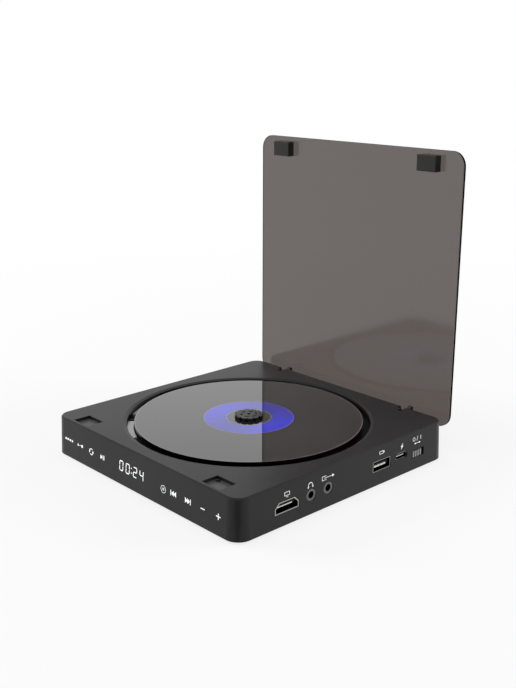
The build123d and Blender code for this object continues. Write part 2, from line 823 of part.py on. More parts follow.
# Touch board behind the front wall, with the display set into it
touch_bottom_z = foot_height + touch_bottom_rise
touch_front_y = front_y + wall + drawn_in(touch_bottom_rise + touch_height) + touch_wall_gap
touch_rear_y = touch_front_y + touch_thickness
with BuildPart() as touch_board:
    with BuildSketch(Plane((0, touch_rear_y, 0), x_dir=(1, 0, 0), z_dir=(0, -1, 0))):
        with Locations((0, touch_bottom_z + touch_height / 2)):
            Rectangle(2 * touch_half_width, touch_height)
        with Locations((display_x, foot_height + display_z)):
            Rectangle(
                display_width + 2 * display_gap, display_height + 2 * display_gap, mode=Mode.SUBTRACT
            )
    extrude(amount=touch_thickness)
finish(touch_board, "touch_board")

with BuildPart() as display_module:
    with BuildSketch(Plane((0, touch_front_y, 0), x_dir=(1, 0, 0), z_dir=(0, -1, 0))):
        with Locations((display_x, foot_height + display_z)):
            Rectangle(display_width, display_height)
    extrude(amount=-display_window_depth)
    with BuildSketch(Plane((0, touch_rear_y, 0), x_dir=(1, 0, 0), z_dir=(0, -1, 0))):
        with Locations((display_x, foot_height + display_z)):
            Rectangle(display_width + 2 * display_flange_width, display_height + 2 * display_flange_height)
    extrude(amount=-display_back_depth)
finish(display_module, "display_module")

# Battery pack between the ribs of the base cover
with BuildPart() as battery_pack:
    with BuildSketch(Plane.XY.offset(cover_top_z)):
        with Locations((battery_x, battery_y)):
            Rectangle(battery_length, battery_width)
    extrude(amount=battery_thickness)
    chamfer(battery_pack.edges().group_by(Axis.Z)[-1], battery_chamfer)
finish(battery_pack, "battery_pack")

# Lid switch under the right pocket: body, board and sprung plunger
switch_top_z = pocket_under_z
with BuildPart() as lid_switch:
    with BuildSketch(Plane.XY.offset(switch_top_z - lid_switch_height)):
        with Locations((lid_switch_x, lid_switch_y)):
            Rectangle(lid_switch_size, lid_switch_size)
    extrude(amount=lid_switch_height)
    with BuildSketch(Plane.XY.offset(switch_top_z)):
        with Locations((lid_switch_x, lid_switch_y)):
            Circle(plunger_radius + plunger_fit)
    extrude(amount=-(lid_switch_height - switch_floor), mode=Mode.SUBTRACT)
finish(lid_switch, "lid_switch")

plunger_top_z = pocket_floor_z - plunger_recess
plunger_bottom_z = switch_top_z - lid_switch_height + switch_floor + plunger_travel + plunger_bottom_gap
with BuildPart() as switch_plunger:
    with BuildSketch(Plane.XY.offset(plunger_bottom_z)):
        with Locations((lid_switch_x, lid_switch_y)):
            Circle(plunger_radius)
    extrude(amount=plunger_top_z - plunger_bottom_z)
finish(switch_plunger, "switch_plunger")

with BuildPart() as lid_switch_board:
    with BuildSketch(Plane.XY.offset(switch_top_z - lid_switch_height)):
        with Locations((lid_switch_x, lid_switch_y)):
            Rectangle(switch_board_length, switch_board_width)
            with Locations((-peg_offset, 0), (peg_offset, 0)):
                RegularPolygon(peg_radius + peg_gap, post_sides, mode=Mode.SUBTRACT)
    extrude(amount=-switch_board_thickness)
finish(lid_switch_board, "lid_switch_board")

# Hinge pins, one in each pair of cheeks
with BuildPart() as hinge_pins:
    for x in hinge_xs:
        with BuildSketch(across_x(x - lane_width / 2 - cheek_thickness, pivot_y, pivot_z)):
            Circle(pin_radius)
        extrude(amount=lane_width + 2 * cheek_thickness)
finish(hinge_pins, "hinge_pins")

# Lid: smoked panel, two blocks and two arms, drawn standing open
lid_centre_z = lid_bottom_z + lid_height / 2
with BuildPart() as lid_panel:
    with BuildSketch(Plane((0, lid_inner_y, lid_centre_z), x_dir=(1, 0, 0), z_dir=(0, -1, 0))):
        RectangleRounded(lid_width, lid_height, lid_corner_radius)
    extrude(amount=-lid_thickness)
    chamfer(lid_panel.faces().filter_by(Axis.Y).edges(), lid_edge_chamfer)
finish(lid_panel, "lid_panel")

block_z = pivot_z + pivot_y - block_pocket_y
for block_name, x in (("lid_block_left", -block_x), ("lid_block_right", block_x)):
    with BuildPart() as block:
        with BuildSketch(Plane((x, lid_inner_y, block_z), x_dir=(1, 0, 0), z_dir=(0, -1, 0))):
            Rectangle(block_width, block_height)
        extrude(amount=block_thickness)
        chamfer(block.faces().sort_by(Axis.Y)[0].edges(), block_chamfer)
    finish(block, block_name)


def hinge_arm(x):
    # A flat arm: a round eye on the pin and a tail to the lid. Its underside meets the lane's
    # sill when the lid stands open.
    tail_y = lid_inner_y - pivot_y
    with BuildPart() as arm:
        with BuildSketch(across_x(x - arm_width / 2, pivot_y, pivot_z)):
            Circle(eye_radius)
            with BuildLine():
                Polyline(
                    (0, -eye_radius),
                    (eye_radius, -eye_radius),
                    (tail_y, -foot_plate_bottom),
                    (tail_y, tail_rise),
                    (tail_y - tail_rise_length, tail_rise),
                    (tail_y - tail_rise_length - tail_rise + eye_radius, eye_radius),
                    (0, eye_radius),
                    close=True,
                )
            make_face()
        extrude(amount=arm_width)
        with BuildSketch(across_x(x - arm_width / 2 - foot_plate_side, pivot_y, pivot_z)):
            with Locations((tail_y - foot_plate_thickness / 2, (foot_plate_top - foot_plate_bottom) / 2)):
                Rectangle(foot_plate_thickness, foot_plate_top + foot_plate_bottom)
        extrude(amount=arm_width + 2 * foot_plate_side)
        with BuildSketch(across_x(x - arm_width / 2, pivot_y, pivot_z)):
            flat_sided(pin_radius + pin_fit, head_sides)
        extrude(amount=arm_width, mode=Mode.SUBTRACT)
    return arm


for arm_name, x in zip(("hinge_arm_left", "hinge_arm_right"), hinge_xs):
    finish(hinge_arm(x), arm_name)

# Drive chassis: a moulded frame with rod posts, a motor cup and damper holes
sled_radius = gear_module * sled_pinion_teeth / 2
wheel_radius = gear_module * reduction_teeth / 2
pinion_radius = gear_module * motor_pinion_teeth / 2
gear_y = spindle_y - gear_reach
motor_distance = wheel_radius + pinion_radius + mesh_gap
motor_x = gear_x + motor_distance * math.cos(math.radians(motor_direction))
motor_y = gear_y + motor_distance * math.sin(math.radians(motor_direction))
motor_cup_radius = motor_can_radius + motor_cup_wall
motor_cup_top_z = motor_can_top_z + motor_cup_roof
pickup_x = -pickup_inner_radius
pickup_far_x = pickup_x - pickup_travel - pickup_half_length
rod_left_x = pickup_far_x - rod_post_clearance
rod_post_top_z = rod_z + rod_radius + rod_post_roof
chassis_left_x = rod_left_x - rod_post_length
opening_width = -rod_left_x - motor_base_radius - opening_gap
chassis_centre = ((chassis_left_x + chassis_right_x) / 2, (chassis_rear - chassis_front) / 2)
with BuildPart() as drive_chassis:
    with BuildSketch(on_spindle(chassis_bottom_z)):
        with Locations(chassis_centre):
            RectangleRounded(chassis_right_x - chassis_left_x, chassis_rear + chassis_front, chassis_corner)
        with Locations((motor_x, motor_y - spindle_y)):
            RegularPolygon(motor_cup_radius, round_sides)
        with Locations((rod_left_x + opening_width / 2, 0)):
            Rectangle(opening_width, 2 * (pickup_half_width + opening_side_gap), mode=Mode.SUBTRACT)
        with Locations(*damper_places):
            RegularPolygon(damper_waist, post_sides, mode=Mode.SUBTRACT)
        RegularPolygon(shaft_radius + shaft_hole_gap, post_sides, mode=Mode.SUBTRACT)
    extrude(amount=chassis_thickness)
    with BuildSketch(Plane.XY.offset(chassis_top_z)):
        with Locations((motor_x, motor_y)):
            RegularPolygon(motor_cup_radius, round_sides)
    extrude(amount=motor_cup_top_z - chassis_top_z)
    with BuildSketch(Plane.XY.offset(chassis_bottom_z)):
        with Locations((motor_x, motor_y)):
            RegularPolygon(motor_can_radius + motor_can_fit, round_sides)
    extrude(amount=motor_can_top_z - chassis_bottom_z, mode=Mode.SUBTRACT)
    with BuildSketch(Plane.XY.offset(motor_can_top_z)):
        with Locations((motor_x, motor_y)):
            RegularPolygon(motor_shaft_radius + motor_shaft_gap, post_sides)
    extrude(amount=motor_cup_roof, mode=Mode.SUBTRACT)
    # Posts for the ends of the guide rods
    with BuildSketch(on_spindle(chassis_top_z)):
        for side in (-1, 1):
            with Locations(
                (rod_left_x - rod_post_length / 2, side * rod_offset),
                (rod_right_x - rod_post_length / 2, side * rod_offset),
            ):
                Rectangle(rod_post_length, rod_post_width)
    extrude(amount=rod_post_top_z - chassis_top_z)
    for side in (-1, 1):
        with BuildSketch(across_x(rod_left_x - rod_post_length, spindle_y + side * rod_offset, rod_z)):
            Rectangle(2 * rod_radius, 2 * rod_radius)
        extrude(amount=rod_right_x - rod_left_x + rod_post_length, mode=Mode.SUBTRACT)
    with BuildSketch(Plane.XY.offset(chassis_bottom_z)):
        with Locations((gear_x, gear_y)):
            flat_sided(gear_post_radius, post_sides)
    extrude(amount=chassis_thickness, mode=Mode.SUBTRACT)
finish(drive_chassis, "drive_chassis")

with BuildPart() as guide_rods:
    for side in (-1, 1):
        with BuildSketch(across_x(rod_left_x - rod_post_length, spindle_y + side * rod_offset, rod_z)):
            Circle(rod_radius)
        extrude(amount=rod_right_x - rod_left_x + rod_post_length)
finish(guide_rods, "guide_rods")

with BuildPart() as drive_dampers:
    with BuildSketch(on_spindle(chassis_bottom_z - damper_lip)):
        with Locations(*damper_places):
            RegularPolygon(damper_radius, post_sides)
    extrude(amount=damper_lip)
    with BuildSketch(on_spindle(chassis_bottom_z)):
        with Locations(*damper_places):
            RegularPolygon(damper_waist, post_sides)
    extrude(amount=chassis_thickness)
    with BuildSketch(on_spindle(chassis_top_z)):
        with Locations(*damper_places):
            RegularPolygon(damper_radius, post_sides)
    extrude(amount=damper_lip)
    with BuildSketch(on_spindle(chassis_bottom_z - damper_lip)):
        with Locations(*damper_places):
            RegularPolygon(damper_bore, post_sides)
    extrude(amount=chassis_thickness + 2 * damper_lip, mode=Mode.SUBTRACT)
finish(drive_dampers, "drive_dampers")

screw_seat_z = chassis_bottom_z - damper_lip
with BuildPart() as drive_screws:
    with BuildSketch(on_spindle(screw_seat_z - drive_screw_head_height)):
        with Locations(*damper_places):
            RegularPolygon(drive_screw_head_radius, head_sides)
    extrude(amount=drive_screw_head_height)
    with BuildSketch(on_spindle(screw_seat_z)):
        with Locations(*damper_places):
            RegularPolygon(drive_screw_shoulder, post_sides)
    extrude(amount=chassis_thickness + 2 * damper_lip)
    with BuildSketch(on_spindle(boss_bottom_z)):
        with Locations(*damper_places):
            RegularPolygon(drive_screw_thread, post_sides)
    extrude(amount=drive_screw_bite)
finish(drive_screws, "drive_screws")

# Spindle motor: stator on the chassis, rotor cup, shaft, turntable with hub, and mat
motor_base_top_z = chassis_top_z + motor_base_thickness
bush_top_z = motor_base_top_z + bush_height
rotor_bottom_z = motor_base_top_z + rotor_lift
rotor_roof_z = bush_top_z + rotor_roof_gap
rotor_top_z = rotor_roof_z + rotor_wall
mat_top_z = disc_bottom_z - seat_gap
turntable_top_z = mat_top_z - mat_thickness
turntable_bottom_z = turntable_top_z - turntable_thickness
hub_top_z = disc_bottom_z + disc_thickness + hub_rise
hub_radius = disc_hole_radius - hub_gap
with BuildPart() as spindle_stator:
    with BuildSketch(on_spindle(chassis_top_z)):
        RegularPolygon(motor_base_radius, head_sides)
    extrude(amount=motor_base_thickness)
    with BuildSketch(on_spindle(motor_base_top_z)):
        RegularPolygon(bush_radius, head_sides)
    extrude(amount=bush_height)
    with BuildSketch(on_spindle(motor_base_top_z + stator_rise)):
        RegularPolygon(stator_radius, head_sides)
    extrude(amount=stator_height)
    with BuildSketch(on_spindle(chassis_top_z)):
        flat_sided(shaft_radius + shaft_fit, head_sides)
    extrude(amount=motor_base_thickness + bush_height, mode=Mode.SUBTRACT)
finish(spindle_stator, "spindle_stator")

with BuildPart() as spindle_rotor:
    with BuildSketch(on_spindle(rotor_bottom_z)):
        RegularPolygon(rotor_radius, round_sides)
    extrude(amount=rotor_top_z - rotor_bottom_z)
    with BuildSketch(on_spindle(rotor_bottom_z)):
        RegularPolygon(rotor_radius - rotor_wall, round_sides)
    extrude(amount=rotor_roof_z - rotor_bottom_z, mode=Mode.SUBTRACT)
    with BuildSketch(on_spindle(rotor_top_z)):
        RegularPolygon(rotor_boss_radius, head_sides)
    extrude(amount=turntable_bottom_z - rotor_top_z)
    with BuildSketch(on_spindle(rotor_roof_z)):
        flat_sided(shaft_radius, head_sides)
    extrude(amount=turntable_bottom_z - rotor_roof_z, mode=Mode.SUBTRACT)
finish(spindle_rotor, "spindle_rotor")

with BuildPart() as spindle_shaft:
    with BuildSketch(on_spindle(chassis_bottom_z + shaft_end_gap)):
        Circle(shaft_radius)
    extrude(amount=turntable_top_z - chassis_bottom_z - shaft_end_gap)
finish(spindle_shaft, "spindle_shaft")

with BuildPart() as turntable:
    with BuildSketch(on_spindle(turntable_bottom_z)):
        RegularPolygon(turntable_radius, well_sides)
        RegularPolygon(shaft_radius, head_sides, major_radius=False, mode=Mode.SUBTRACT)
    extrude(amount=turntable_thickness)
    # Notches round the hub's rim leave the springy fingers
    with BuildSketch(on_spindle(turntable_top_z)):
        Circle(hub_radius)
        with PolarLocations(hub_radius, hub_notch_count, start_angle=hub_notch_start):
            Rectangle(2 * hub_notch_depth, hub_notch_width, mode=Mode.SUBTRACT)
    extrude(amount=hub_top_z - turntable_top_z)
    with BuildSketch(on_spindle(hub_top_z)):
        with PolarLocations(hub_slot_ring, hub_slot_count):
            Rectangle(hub_slot_width, hub_slot_length)
        RegularPolygon(shaft_radius, post_sides)
    extrude(amount=-hub_slot_depth, mode=Mode.SUBTRACT)
finish(turntable, "turntable")

with BuildPart() as turntable_mat:
    with BuildSketch(on_spindle(turntable_top_z)):
        RegularPolygon(turntable_radius - mat_inset, round_sides)
        RegularPolygon(mat_inner_radius, round_sides, mode=Mode.SUBTRACT)
    extrude(amount=mat_thickness)
finish(turntable_mat, "turntable_mat")

# Disc
with BuildPart() as disc:
    with BuildSketch(on_spindle(disc_bottom_z)):
        Circle(disc_radius)
        Circle(disc_hole_radius, mode=Mode.SUBTRACT)
    extrude(amount=disc_thickness)
finish(disc, "disc")

# Pickup: carriage on two rods, actuator cover, lens, and the rack on its side
with BuildPart() as pickup_carriage:
    with BuildSketch(on_spindle(pickup_bottom_z)):
        with Locations((pickup_x, 0)):
            Rectangle(2 * pickup_half_length, 2 * pickup_half_width)
    extrude(amount=pickup_top_z - pickup_bottom_z)
    # Bush over the front rod, open fork over the rear one
    with BuildSketch(on_spindle(pickup_bottom_z)):
        with Locations((pickup_x, -(pickup_half_width + rod_offset + rod_radius + bush_wall) / 2)):
            Rectangle(2 * pickup_half_length, rod_offset + rod_radius + bush_wall - pickup_half_width)
    extrude(amount=pickup_top_z - pickup_bottom_z)
    with BuildSketch(on_spindle(pickup_bottom_z)):
        with Locations((pickup_x, (pickup_half_width + rod_offset + rod_radius + bush_wall) / 2)):
            Rectangle(pickup_half_length, rod_offset + rod_radius + bush_wall - pickup_half_width)
    extrude(amount=pickup_top_z - pickup_bottom_z)
    for side in (-1, 1):
        with BuildSketch(across_x(pickup_x - pickup_half_length, spindle_y + side * rod_offset, rod_z)):
            flat_sided(rod_radius + rod_fit, head_sides)
        extrude(amount=2 * pickup_half_length, mode=Mode.SUBTRACT)
    with BuildSketch(across_x(pickup_x - pickup_half_length, spindle_y + rod_offset + rod_radius, rod_z)):
        Rectangle(3 * rod_radius, 2 * (rod_radius + rod_fit), align=(Align.MIN, Align.CENTER))
    extrude(amount=2 * pickup_half_length, mode=Mode.SUBTRACT)
    with BuildSketch(on_spindle(pickup_top_z)):
        with Locations((pickup_x, 0)):
            RectangleRounded(2 * cover_half_length, 2 * cover_half_width, cover_corner)
    extrude(amount=cover_top - pickup_top_z)
finish(pickup_carriage, "pickup_carriage")

with BuildPart() as pickup_lens:
    with BuildSketch(on_spindle(cover_top)):
        with Locations((pickup_x, 0)):
            RegularPolygon(lens_ring_radius, round_sides)
    extrude(amount=lens_ring_height)
    with BuildSketch(on_spindle(cover_top + lens_ring_height)):
        with Locations((pickup_x, 0)):
            RegularPolygon(lens_radius, head_sides)
    extrude(amount=lens_height, taper=lens_taper)
finish(pickup_lens, "pickup_lens")


def involute(angle):
    return math.tan(angle) - angle


def gear_points(teeth, first_tooth):
    # Points round a spur gear; its flanks run straight between their involute ends. One tooth is
    # centred on the angle first_tooth.
    pitch_radius = gear_module * teeth / 2
    base_radius = pitch_radius * math.cos(math.radians(pressure_angle))
    root_radius = pitch_radius - dedendum
    tip_radius = pitch_radius + addendum
    half_pitch_angle = (math.pi * gear_module / 2 - tooth_thinning) / (2 * pitch_radius)

    def flank(radius):
        tilt = math.acos(min(1.0, base_radius / radius))
        return half_pitch_angle + involute(math.radians(pressure_angle)) - involute(tilt)

    radii = (root_radius, tip_radius)
    points = []
    for tooth in range(teeth):
        centre = math.radians(first_tooth + tooth * 360 / teeth)
        for radius in radii:
            angle = centre - flank(radius)
            points.append((radius * math.cos(angle), radius * math.sin(angle)))
        for radius in reversed(radii):
            angle = centre + flank(radius)
            points.append((radius * math.cos(angle), radius * math.sin(angle)))
    return points


# Rack: one tooth stands opposite a gap of the sled pinion when the pickup is home
rack_pitch_y = gear_y + sled_radius + mesh_gap
rack_back_y = spindle_y - rod_offset - rod_radius - bush_wall
rack_left_x = gear_x - rack_end_margin
rack_right_x = gear_x + pickup_travel + rack_end_margin
circular_pitch = math.pi * gear_module
rack_teeth = int((rack_right_x - rack_left_x) / circular_pitch) - 1
first_rack_tooth = -int((gear_x - rack_left_x) / circular_pitch - 0.6)
flank_lean = math.tan(math.radians(pressure_angle))


def rack_points():
    half = circular_pitch / 4 - tooth_thinning / 2
    tip_y = rack_pitch_y - addendum
    root_y = rack_pitch_y + dedendum
    points = [(rack_left_x, root_y)]
    for tooth in range(first_rack_tooth, first_rack_tooth + rack_teeth):
        centre = gear_x + tooth * circular_pitch
        points.append((centre - half - dedendum * flank_lean, root_y))
        points.append((centre - half + addendum * flank_lean, tip_y))
        points.append((centre + half - addendum * flank_lean, tip_y))
        points.append((centre + half + dedendum * flank_lean, root_y))
    points.append((rack_right_x, root_y))
    points.append((rack_right_x, rack_back_y))
    points.append((rack_left_x, rack_back_y))
    return points


with BuildPart() as sled_rack:
    with BuildSketch(Plane.XY.offset(rack_bottom_z)):
        with BuildLine():
            Polyline(*rack_points(), close=True)
        make_face()
    extrude(amount=rack_thickness)
finish(sled_rack, "sled_rack")

# Reduction gear: a small pinion on the rack, a large wheel above it, on a fixed post
gear_bottom_z = chassis_top_z + gear_lift
wheel_top_z = wheel_bottom_z + wheel_thickness
with BuildPart() as reduction_gear:
    with BuildSketch(Plane((gear_x, gear_y, gear_bottom_z))):
        with BuildLine():
            Polyline(*gear_points(sled_pinion_teeth, 90 + 180 / sled_pinion_teeth), close=True)
        make_face()
    extrude(amount=wheel_bottom_z - gear_bottom_z)
    with BuildSketch(Plane((gear_x, gear_y, wheel_bottom_z))):
        with BuildLine():
            Polyline(*gear_points(reduction_teeth, motor_direction), close=True)
        make_face()
    extrude(amount=wheel_thickness)
    with BuildSketch(Plane((gear_x, gear_y, gear_bottom_z))):
        flat_sided(gear_post_radius + gear_fit, head_sides)
    extrude(amount=wheel_top_z - gear_bottom_z, mode=Mode.SUBTRACT)
finish(reduction_gear, "reduction_gear")

with BuildPart() as gear_post:
    with BuildSketch(Plane((gear_x, gear_y, chassis_bottom_z))):
        Circle(gear_post_radius)
    extrude(amount=wheel_top_z + clip_gap + clip_thickness - chassis_bottom_z)
    with BuildSketch(Plane((gear_x, gear_y, wheel_top_z + clip_gap))):
        RegularPolygon(clip_share * gear_post_radius, head_sides)
    extrude(amount=clip_thickness)
finish(gear_post, "gear_post")

# Sled motor: can in the chassis cup, shaft with its pinion
with BuildPart() as sled_motor:
    with BuildSketch(Plane((motor_x, motor_y, motor_can_bottom_z))):
        RegularPolygon(motor_can_radius, round_sides)
    extrude(amount=motor_can_top_z - motor_can_bottom_z)
    with BuildSketch(Plane((motor_x, motor_y, motor_can_top_z))):
        flat_sided(motor_shaft_radius + motor_shaft_fit, head_sides)
    extrude(amount=-(motor_can_top_z - motor_can_bottom_z) / 2, mode=Mode.SUBTRACT)
finish(sled_motor, "sled_motor")

motor_shaft_bottom_z = (motor_can_top_z + motor_can_bottom_z) / 2 + motor_shaft_lift
with BuildPart() as motor_pinion:
    with BuildSketch(Plane((motor_x, motor_y, motor_shaft_bottom_z))):
        Circle(motor_shaft_radius)
    extrude(amount=wheel_bottom_z - motor_shaft_bottom_z)
    with BuildSketch(Plane((motor_x, motor_y, wheel_bottom_z - pinion_overhang))):
        with BuildLine():
            Polyline(
                *gear_points(motor_pinion_teeth, motor_direction + 180 + 180 / motor_pinion_teeth),
                close=True,
            )
        make_face()
    extrude(amount=wheel_thickness + 2 * pinion_overhang)
finish(motor_pinion, "motor_pinion")
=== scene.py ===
# %% [markdown]
# A portable disc player stands open on a pale floor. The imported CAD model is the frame: its
# solids keep their places and sizes. This notebook gives them the finishes of the real pieces,
# adds the marks, signs and contacts that are too thin for the solids, and sets light and camera.
# The frame is loaded first, because every later place is worked out from it.
#
# All lengths here are millimetres until they reach Blender, which works in metres.

# %% Load the frame
import math
import bpy
import bmesh
from mathutils import Matrix, Vector


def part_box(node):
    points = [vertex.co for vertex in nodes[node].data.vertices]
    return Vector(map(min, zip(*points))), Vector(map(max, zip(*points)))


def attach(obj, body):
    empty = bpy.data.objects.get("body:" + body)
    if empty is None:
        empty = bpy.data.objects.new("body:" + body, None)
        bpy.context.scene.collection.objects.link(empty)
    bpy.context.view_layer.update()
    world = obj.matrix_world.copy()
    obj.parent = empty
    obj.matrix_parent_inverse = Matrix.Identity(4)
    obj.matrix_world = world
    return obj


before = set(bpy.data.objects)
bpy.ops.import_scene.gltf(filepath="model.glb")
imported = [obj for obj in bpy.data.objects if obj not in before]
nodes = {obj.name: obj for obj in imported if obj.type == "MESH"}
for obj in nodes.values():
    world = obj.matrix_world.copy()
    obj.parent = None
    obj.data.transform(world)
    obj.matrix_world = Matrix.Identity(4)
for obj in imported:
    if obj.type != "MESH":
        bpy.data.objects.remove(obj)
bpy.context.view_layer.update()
MM = 0.001
print("pieces in the frame:", len(nodes))

# %% [markdown]
# The marks and contacts sit on walls that lean inwards. A moulded housing has such a draft, so
# that it slips out of its mould. Their places could be typed in, but they are worked out from the
# boxes of the solids, so that they still fit when the player's size changes.

# %% Places on the housing
WALL_LEAN = 2.36  # degrees
housing_low, housing_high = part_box("upper_housing")
BOTTOM_Z = housing_low.z / MM
DECK_Z = housing_high.z / MM
FRONT_Y = housing_low.y / MM
RIGHT_X = housing_high.x / MM
DRAFT = math.tan(math.radians(WALL_LEAN))
print("deck height", round(DECK_Z, 2), "mm, right wall at", round(RIGHT_X, 2), "mm")

# %% [markdown]
# The disc turns about the spindle, so its rings and the arcs in the well are measured from the
# middle of the disc's own box.

# %% Places round the disc
disc_low, disc_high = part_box("disc")
SPINDLE_Y = (disc_low.y + disc_high.y) / 2 / MM
DISC_TOP = disc_high.z / MM
DISC_RADIUS = (disc_high.x - disc_low.x) / 2 / MM
print("disc radius", round(DISC_RADIUS, 2), "mm, spindle at", round(SPINDLE_Y, 2), "mm")


# %% [markdown]
# A colour is easiest to write as it looks on a screen, in hex. Shaders add and multiply light, so
# they need linear values. One function turns the first into the second, and every colour of a
# piece goes through it.

# %% Colours in hex
def linear(hex_colour):
    values = [int(hex_colour[i:i + 2], 16) / 255 for i in (1, 3, 5)]
    return [v / 12.92 if v <= 0.04045 else ((v + 0.055) / 1.055) ** 2.4 for v in values] + [1.0]


print("middle grey in linear light:", round(linear("#808080")[0], 3))


# %% [markdown]
# A procedural material is a small network of nodes. Each node takes several lines of code, so one
# helper makes a node, sets its options and fills or links its inputs. That keeps each material
# short enough to read as a recipe.

# %% Adding nodes
def add(tree, kind, inputs=None, **settings):
    node = tree.nodes.new(kind)
    for key, value in settings.items():
        setattr(node, key, value)
    for key, value in (inputs or {}).items():
        if isinstance(value, bpy.types.NodeSocket):
            tree.links.new(value, node.inputs[key])
        else:
            node.inputs[key].default_value = value
    return node


def new_material(name):
    material = bpy.data.materials.new(name)
    material.use_nodes = True
    tree = material.node_tree
    return material, tree, tree.nodes["Principled BSDF"]


print("helpers ready: add, new_material")


# %% [markdown]
# Moulded plastic is never one flat tone: its colour drifts a little where the melt has flowed.
# A picture would need unwrapping and would repeat. A soft noise of 40 mm, blended between two
# close tones, does the same on any shape.

# %% Drifting colour
DRIFT_MM = 40.0
# The noise seldom leaves the middle third of its range, so the blend takes place within it.
BLEND_FROM = 0.35
BLEND_TO = 0.65


def drift(tree, shader, first, second):
    place = add(tree, "ShaderNodeTexCoord")
    noise = add(tree, "ShaderNodeTexNoise", {
        "Vector": place.outputs["Object"], "Scale": 1 / (DRIFT_MM * MM), "Detail": 4.0,
    })
    ramp = add(tree, "ShaderNodeValToRGB", {"Fac": noise.outputs["Fac"]})
    ramp.color_ramp.elements[0].position = BLEND_FROM
    ramp.color_ramp.elements[1].position = BLEND_TO
    ramp.color_ramp.elements[0].color = linear(first)
    ramp.color_ramp.elements[1].color = linear(second)
    tree.links.new(ramp.outputs["Color"], shader.inputs["Base Color"])


print("colours drift over", DRIFT_MM, "mm")


# %% [markdown]
# A mould is spark-eroded, and its fine pits become the grain of the plastic. The grain could be
# displaced, but it is only microns deep, so a bump is enough. The real pits are well under 0.1 mm
# wide, which no pixel could show, so they are drawn a third of a millimetre wide.

# %% Moulded grain
GRAIN_MM = 0.35
GRAIN_DEPTH_MM = 0.004


def grain(tree, shader, size_mm, depth_mm):
    place = add(tree, "ShaderNodeTexCoord")
    noise = add(tree, "ShaderNodeTexNoise", {
        "Vector": place.outputs["Object"], "Scale": 1 / (size_mm * MM), "Detail": 3.0, "Roughness": 0.6,
    })
    bump = add(tree, "ShaderNodeBump", {
        "Height": noise.outputs["Fac"], "Distance": depth_mm * MM, "Strength": 1.0,
    })
    tree.links.new(bump.outputs["Normal"], shader.inputs["Normal"])


print("grain", GRAIN_MM, "mm wide and", GRAIN_DEPTH_MM, "mm deep")


# %% [markdown]
# The housing is injection-moulded ABS. Its grain breaks the highlight into a soft sheen, so the
# deck looks pale where it mirrors the bright room at a low angle, and dark where it mirrors the
# lid. ABS starts at a roughness of about 0.4; it was then matched to the photographed deck.

# %% Housing plastic
def moulded(name, first, second, roughness, specular, grain_mm=GRAIN_MM, depth_mm=GRAIN_DEPTH_MM):
    material, tree, shader = new_material(name)
    drift(tree, shader, first, second)
    shader.inputs["Roughness"].default_value = roughness
    shader.inputs["Specular IOR Level"].default_value = specular
    grain(tree, shader, grain_mm, depth_mm)
    return material


housing_abs = moulded("housing_abs_fine_grain", "#222122", "#272627", roughness=0.36, specular=0.2)
print("housing:", housing_abs.name)

# %% [markdown]
# No moulded edge is quite sharp, and its small radius catches a thin line of light. The solids
# could carry that rounding, but it would cost many tiny faces. A Bevel node bends the shading at
# the edges instead, and hands it on to the grain's bump.

# %% Rounded edges
EDGE_RADIUS = 0.35
tree = housing_abs.node_tree
rounded = add(tree, "ShaderNodeBevel", {"Radius": EDGE_RADIUS * MM})
tree.links.new(rounded.outputs["Normal"], tree.nodes["Bump"].inputs["Normal"])
print("edges rounded by", EDGE_RADIUS, "mm")

# %% [markdown]
# The floors of the two lid pockets are painted paler than the deck: painted light that lifts the shade
# their walls throw on them.
# They could get a material of their own, face by face. Two tests find them instead: they face
# straight up, and they lie more than a millimetre below the deck. That still holds if they move.

# %% Pocket floors with painted light
FACES_UP = 0.95
POCKET_DEPTH = 1.0
place = add(tree, "ShaderNodeTexCoord")
facing = add(tree, "ShaderNodeSeparateXYZ", {"Vector": place.outputs["Normal"]})
height = add(tree, "ShaderNodeSeparateXYZ", {"Vector": place.outputs["Object"]})
flat_up = add(tree, "ShaderNodeMath", {0: facing.outputs["Z"], 1: FACES_UP}, operation="GREATER_THAN")
sunk = add(tree, "ShaderNodeMath", {
    0: height.outputs["Z"], 1: (DECK_Z - POCKET_DEPTH) * MM,
}, operation="LESS_THAN")
pocket = add(tree, "ShaderNodeMath", {
    0: flat_up.outputs["Value"], 1: sunk.outputs["Value"],
}, operation="MULTIPLY")
shader = tree.nodes["Principled BSDF"]
plain = shader.inputs["Base Color"].links[0].from_socket
# On a Mix node for colours, socket 0 is the factor, 6 and 7 are the colours, and output 2 the result.
# Painted light: the pocket floors are mixed towards a paler grey to lift their shade.
painted_light_floor = add(tree, "ShaderNodeMix", {
    0: pocket.outputs["Value"], 6: plain, 7: linear("#474647"),
}, data_type="RGBA")
tree.links.new(painted_light_floor.outputs[2], shader.inputs["Base Color"])
print("pocket floors: below", round(DECK_Z - POCKET_DEPTH, 2), "mm")

# %% [markdown]
# The other plastics are moulded in the same way. Each is named for its resin, because the resin
# sets how it shines: acetal is slick, nylon and PBT are duller, and ABS lies between them.

# %% Plastics in and on the housing
# Matt black ABS for the well under the disc: it swallows the light that falls past the disc.
well_abs = moulded("well_black_abs", "#0B0B0C", "#101011", roughness=0.5, specular=0.15)
# Pale, glossy ABS: its arcs shine out of the dark well as a painted reflection of the bright room, laid
# only where that reflection would show.
reflection_arc_abs = moulded("arc_abs_painted_reflection", "#ABABAE", "#B3B3B6", roughness=0.2, specular=0.5)
# The base cover's ABS is a little rougher than the deck's, so it has no sheen.
cover_abs = moulded("cover_abs_fine_grain", "#202021", "#252526", roughness=0.5, specular=0.5)
# Nylon on the lid's arms gives a dull, even black.
arm_nylon = moulded("arm_black_nylon", "#151516", "#1A1A1B", roughness=0.35, specular=0.5)
# The lid switch's plunger is polished ABS, so that the rubber block slides on it: a small glint.
plunger_abs = moulded("plunger_black_abs", "#1A1A1B", "#202021", roughness=0.2, specular=0.5)
print("outer plastics:", well_abs.name, reflection_arc_abs.name, cover_abs.name, arm_nylon.name, plunger_abs.name)

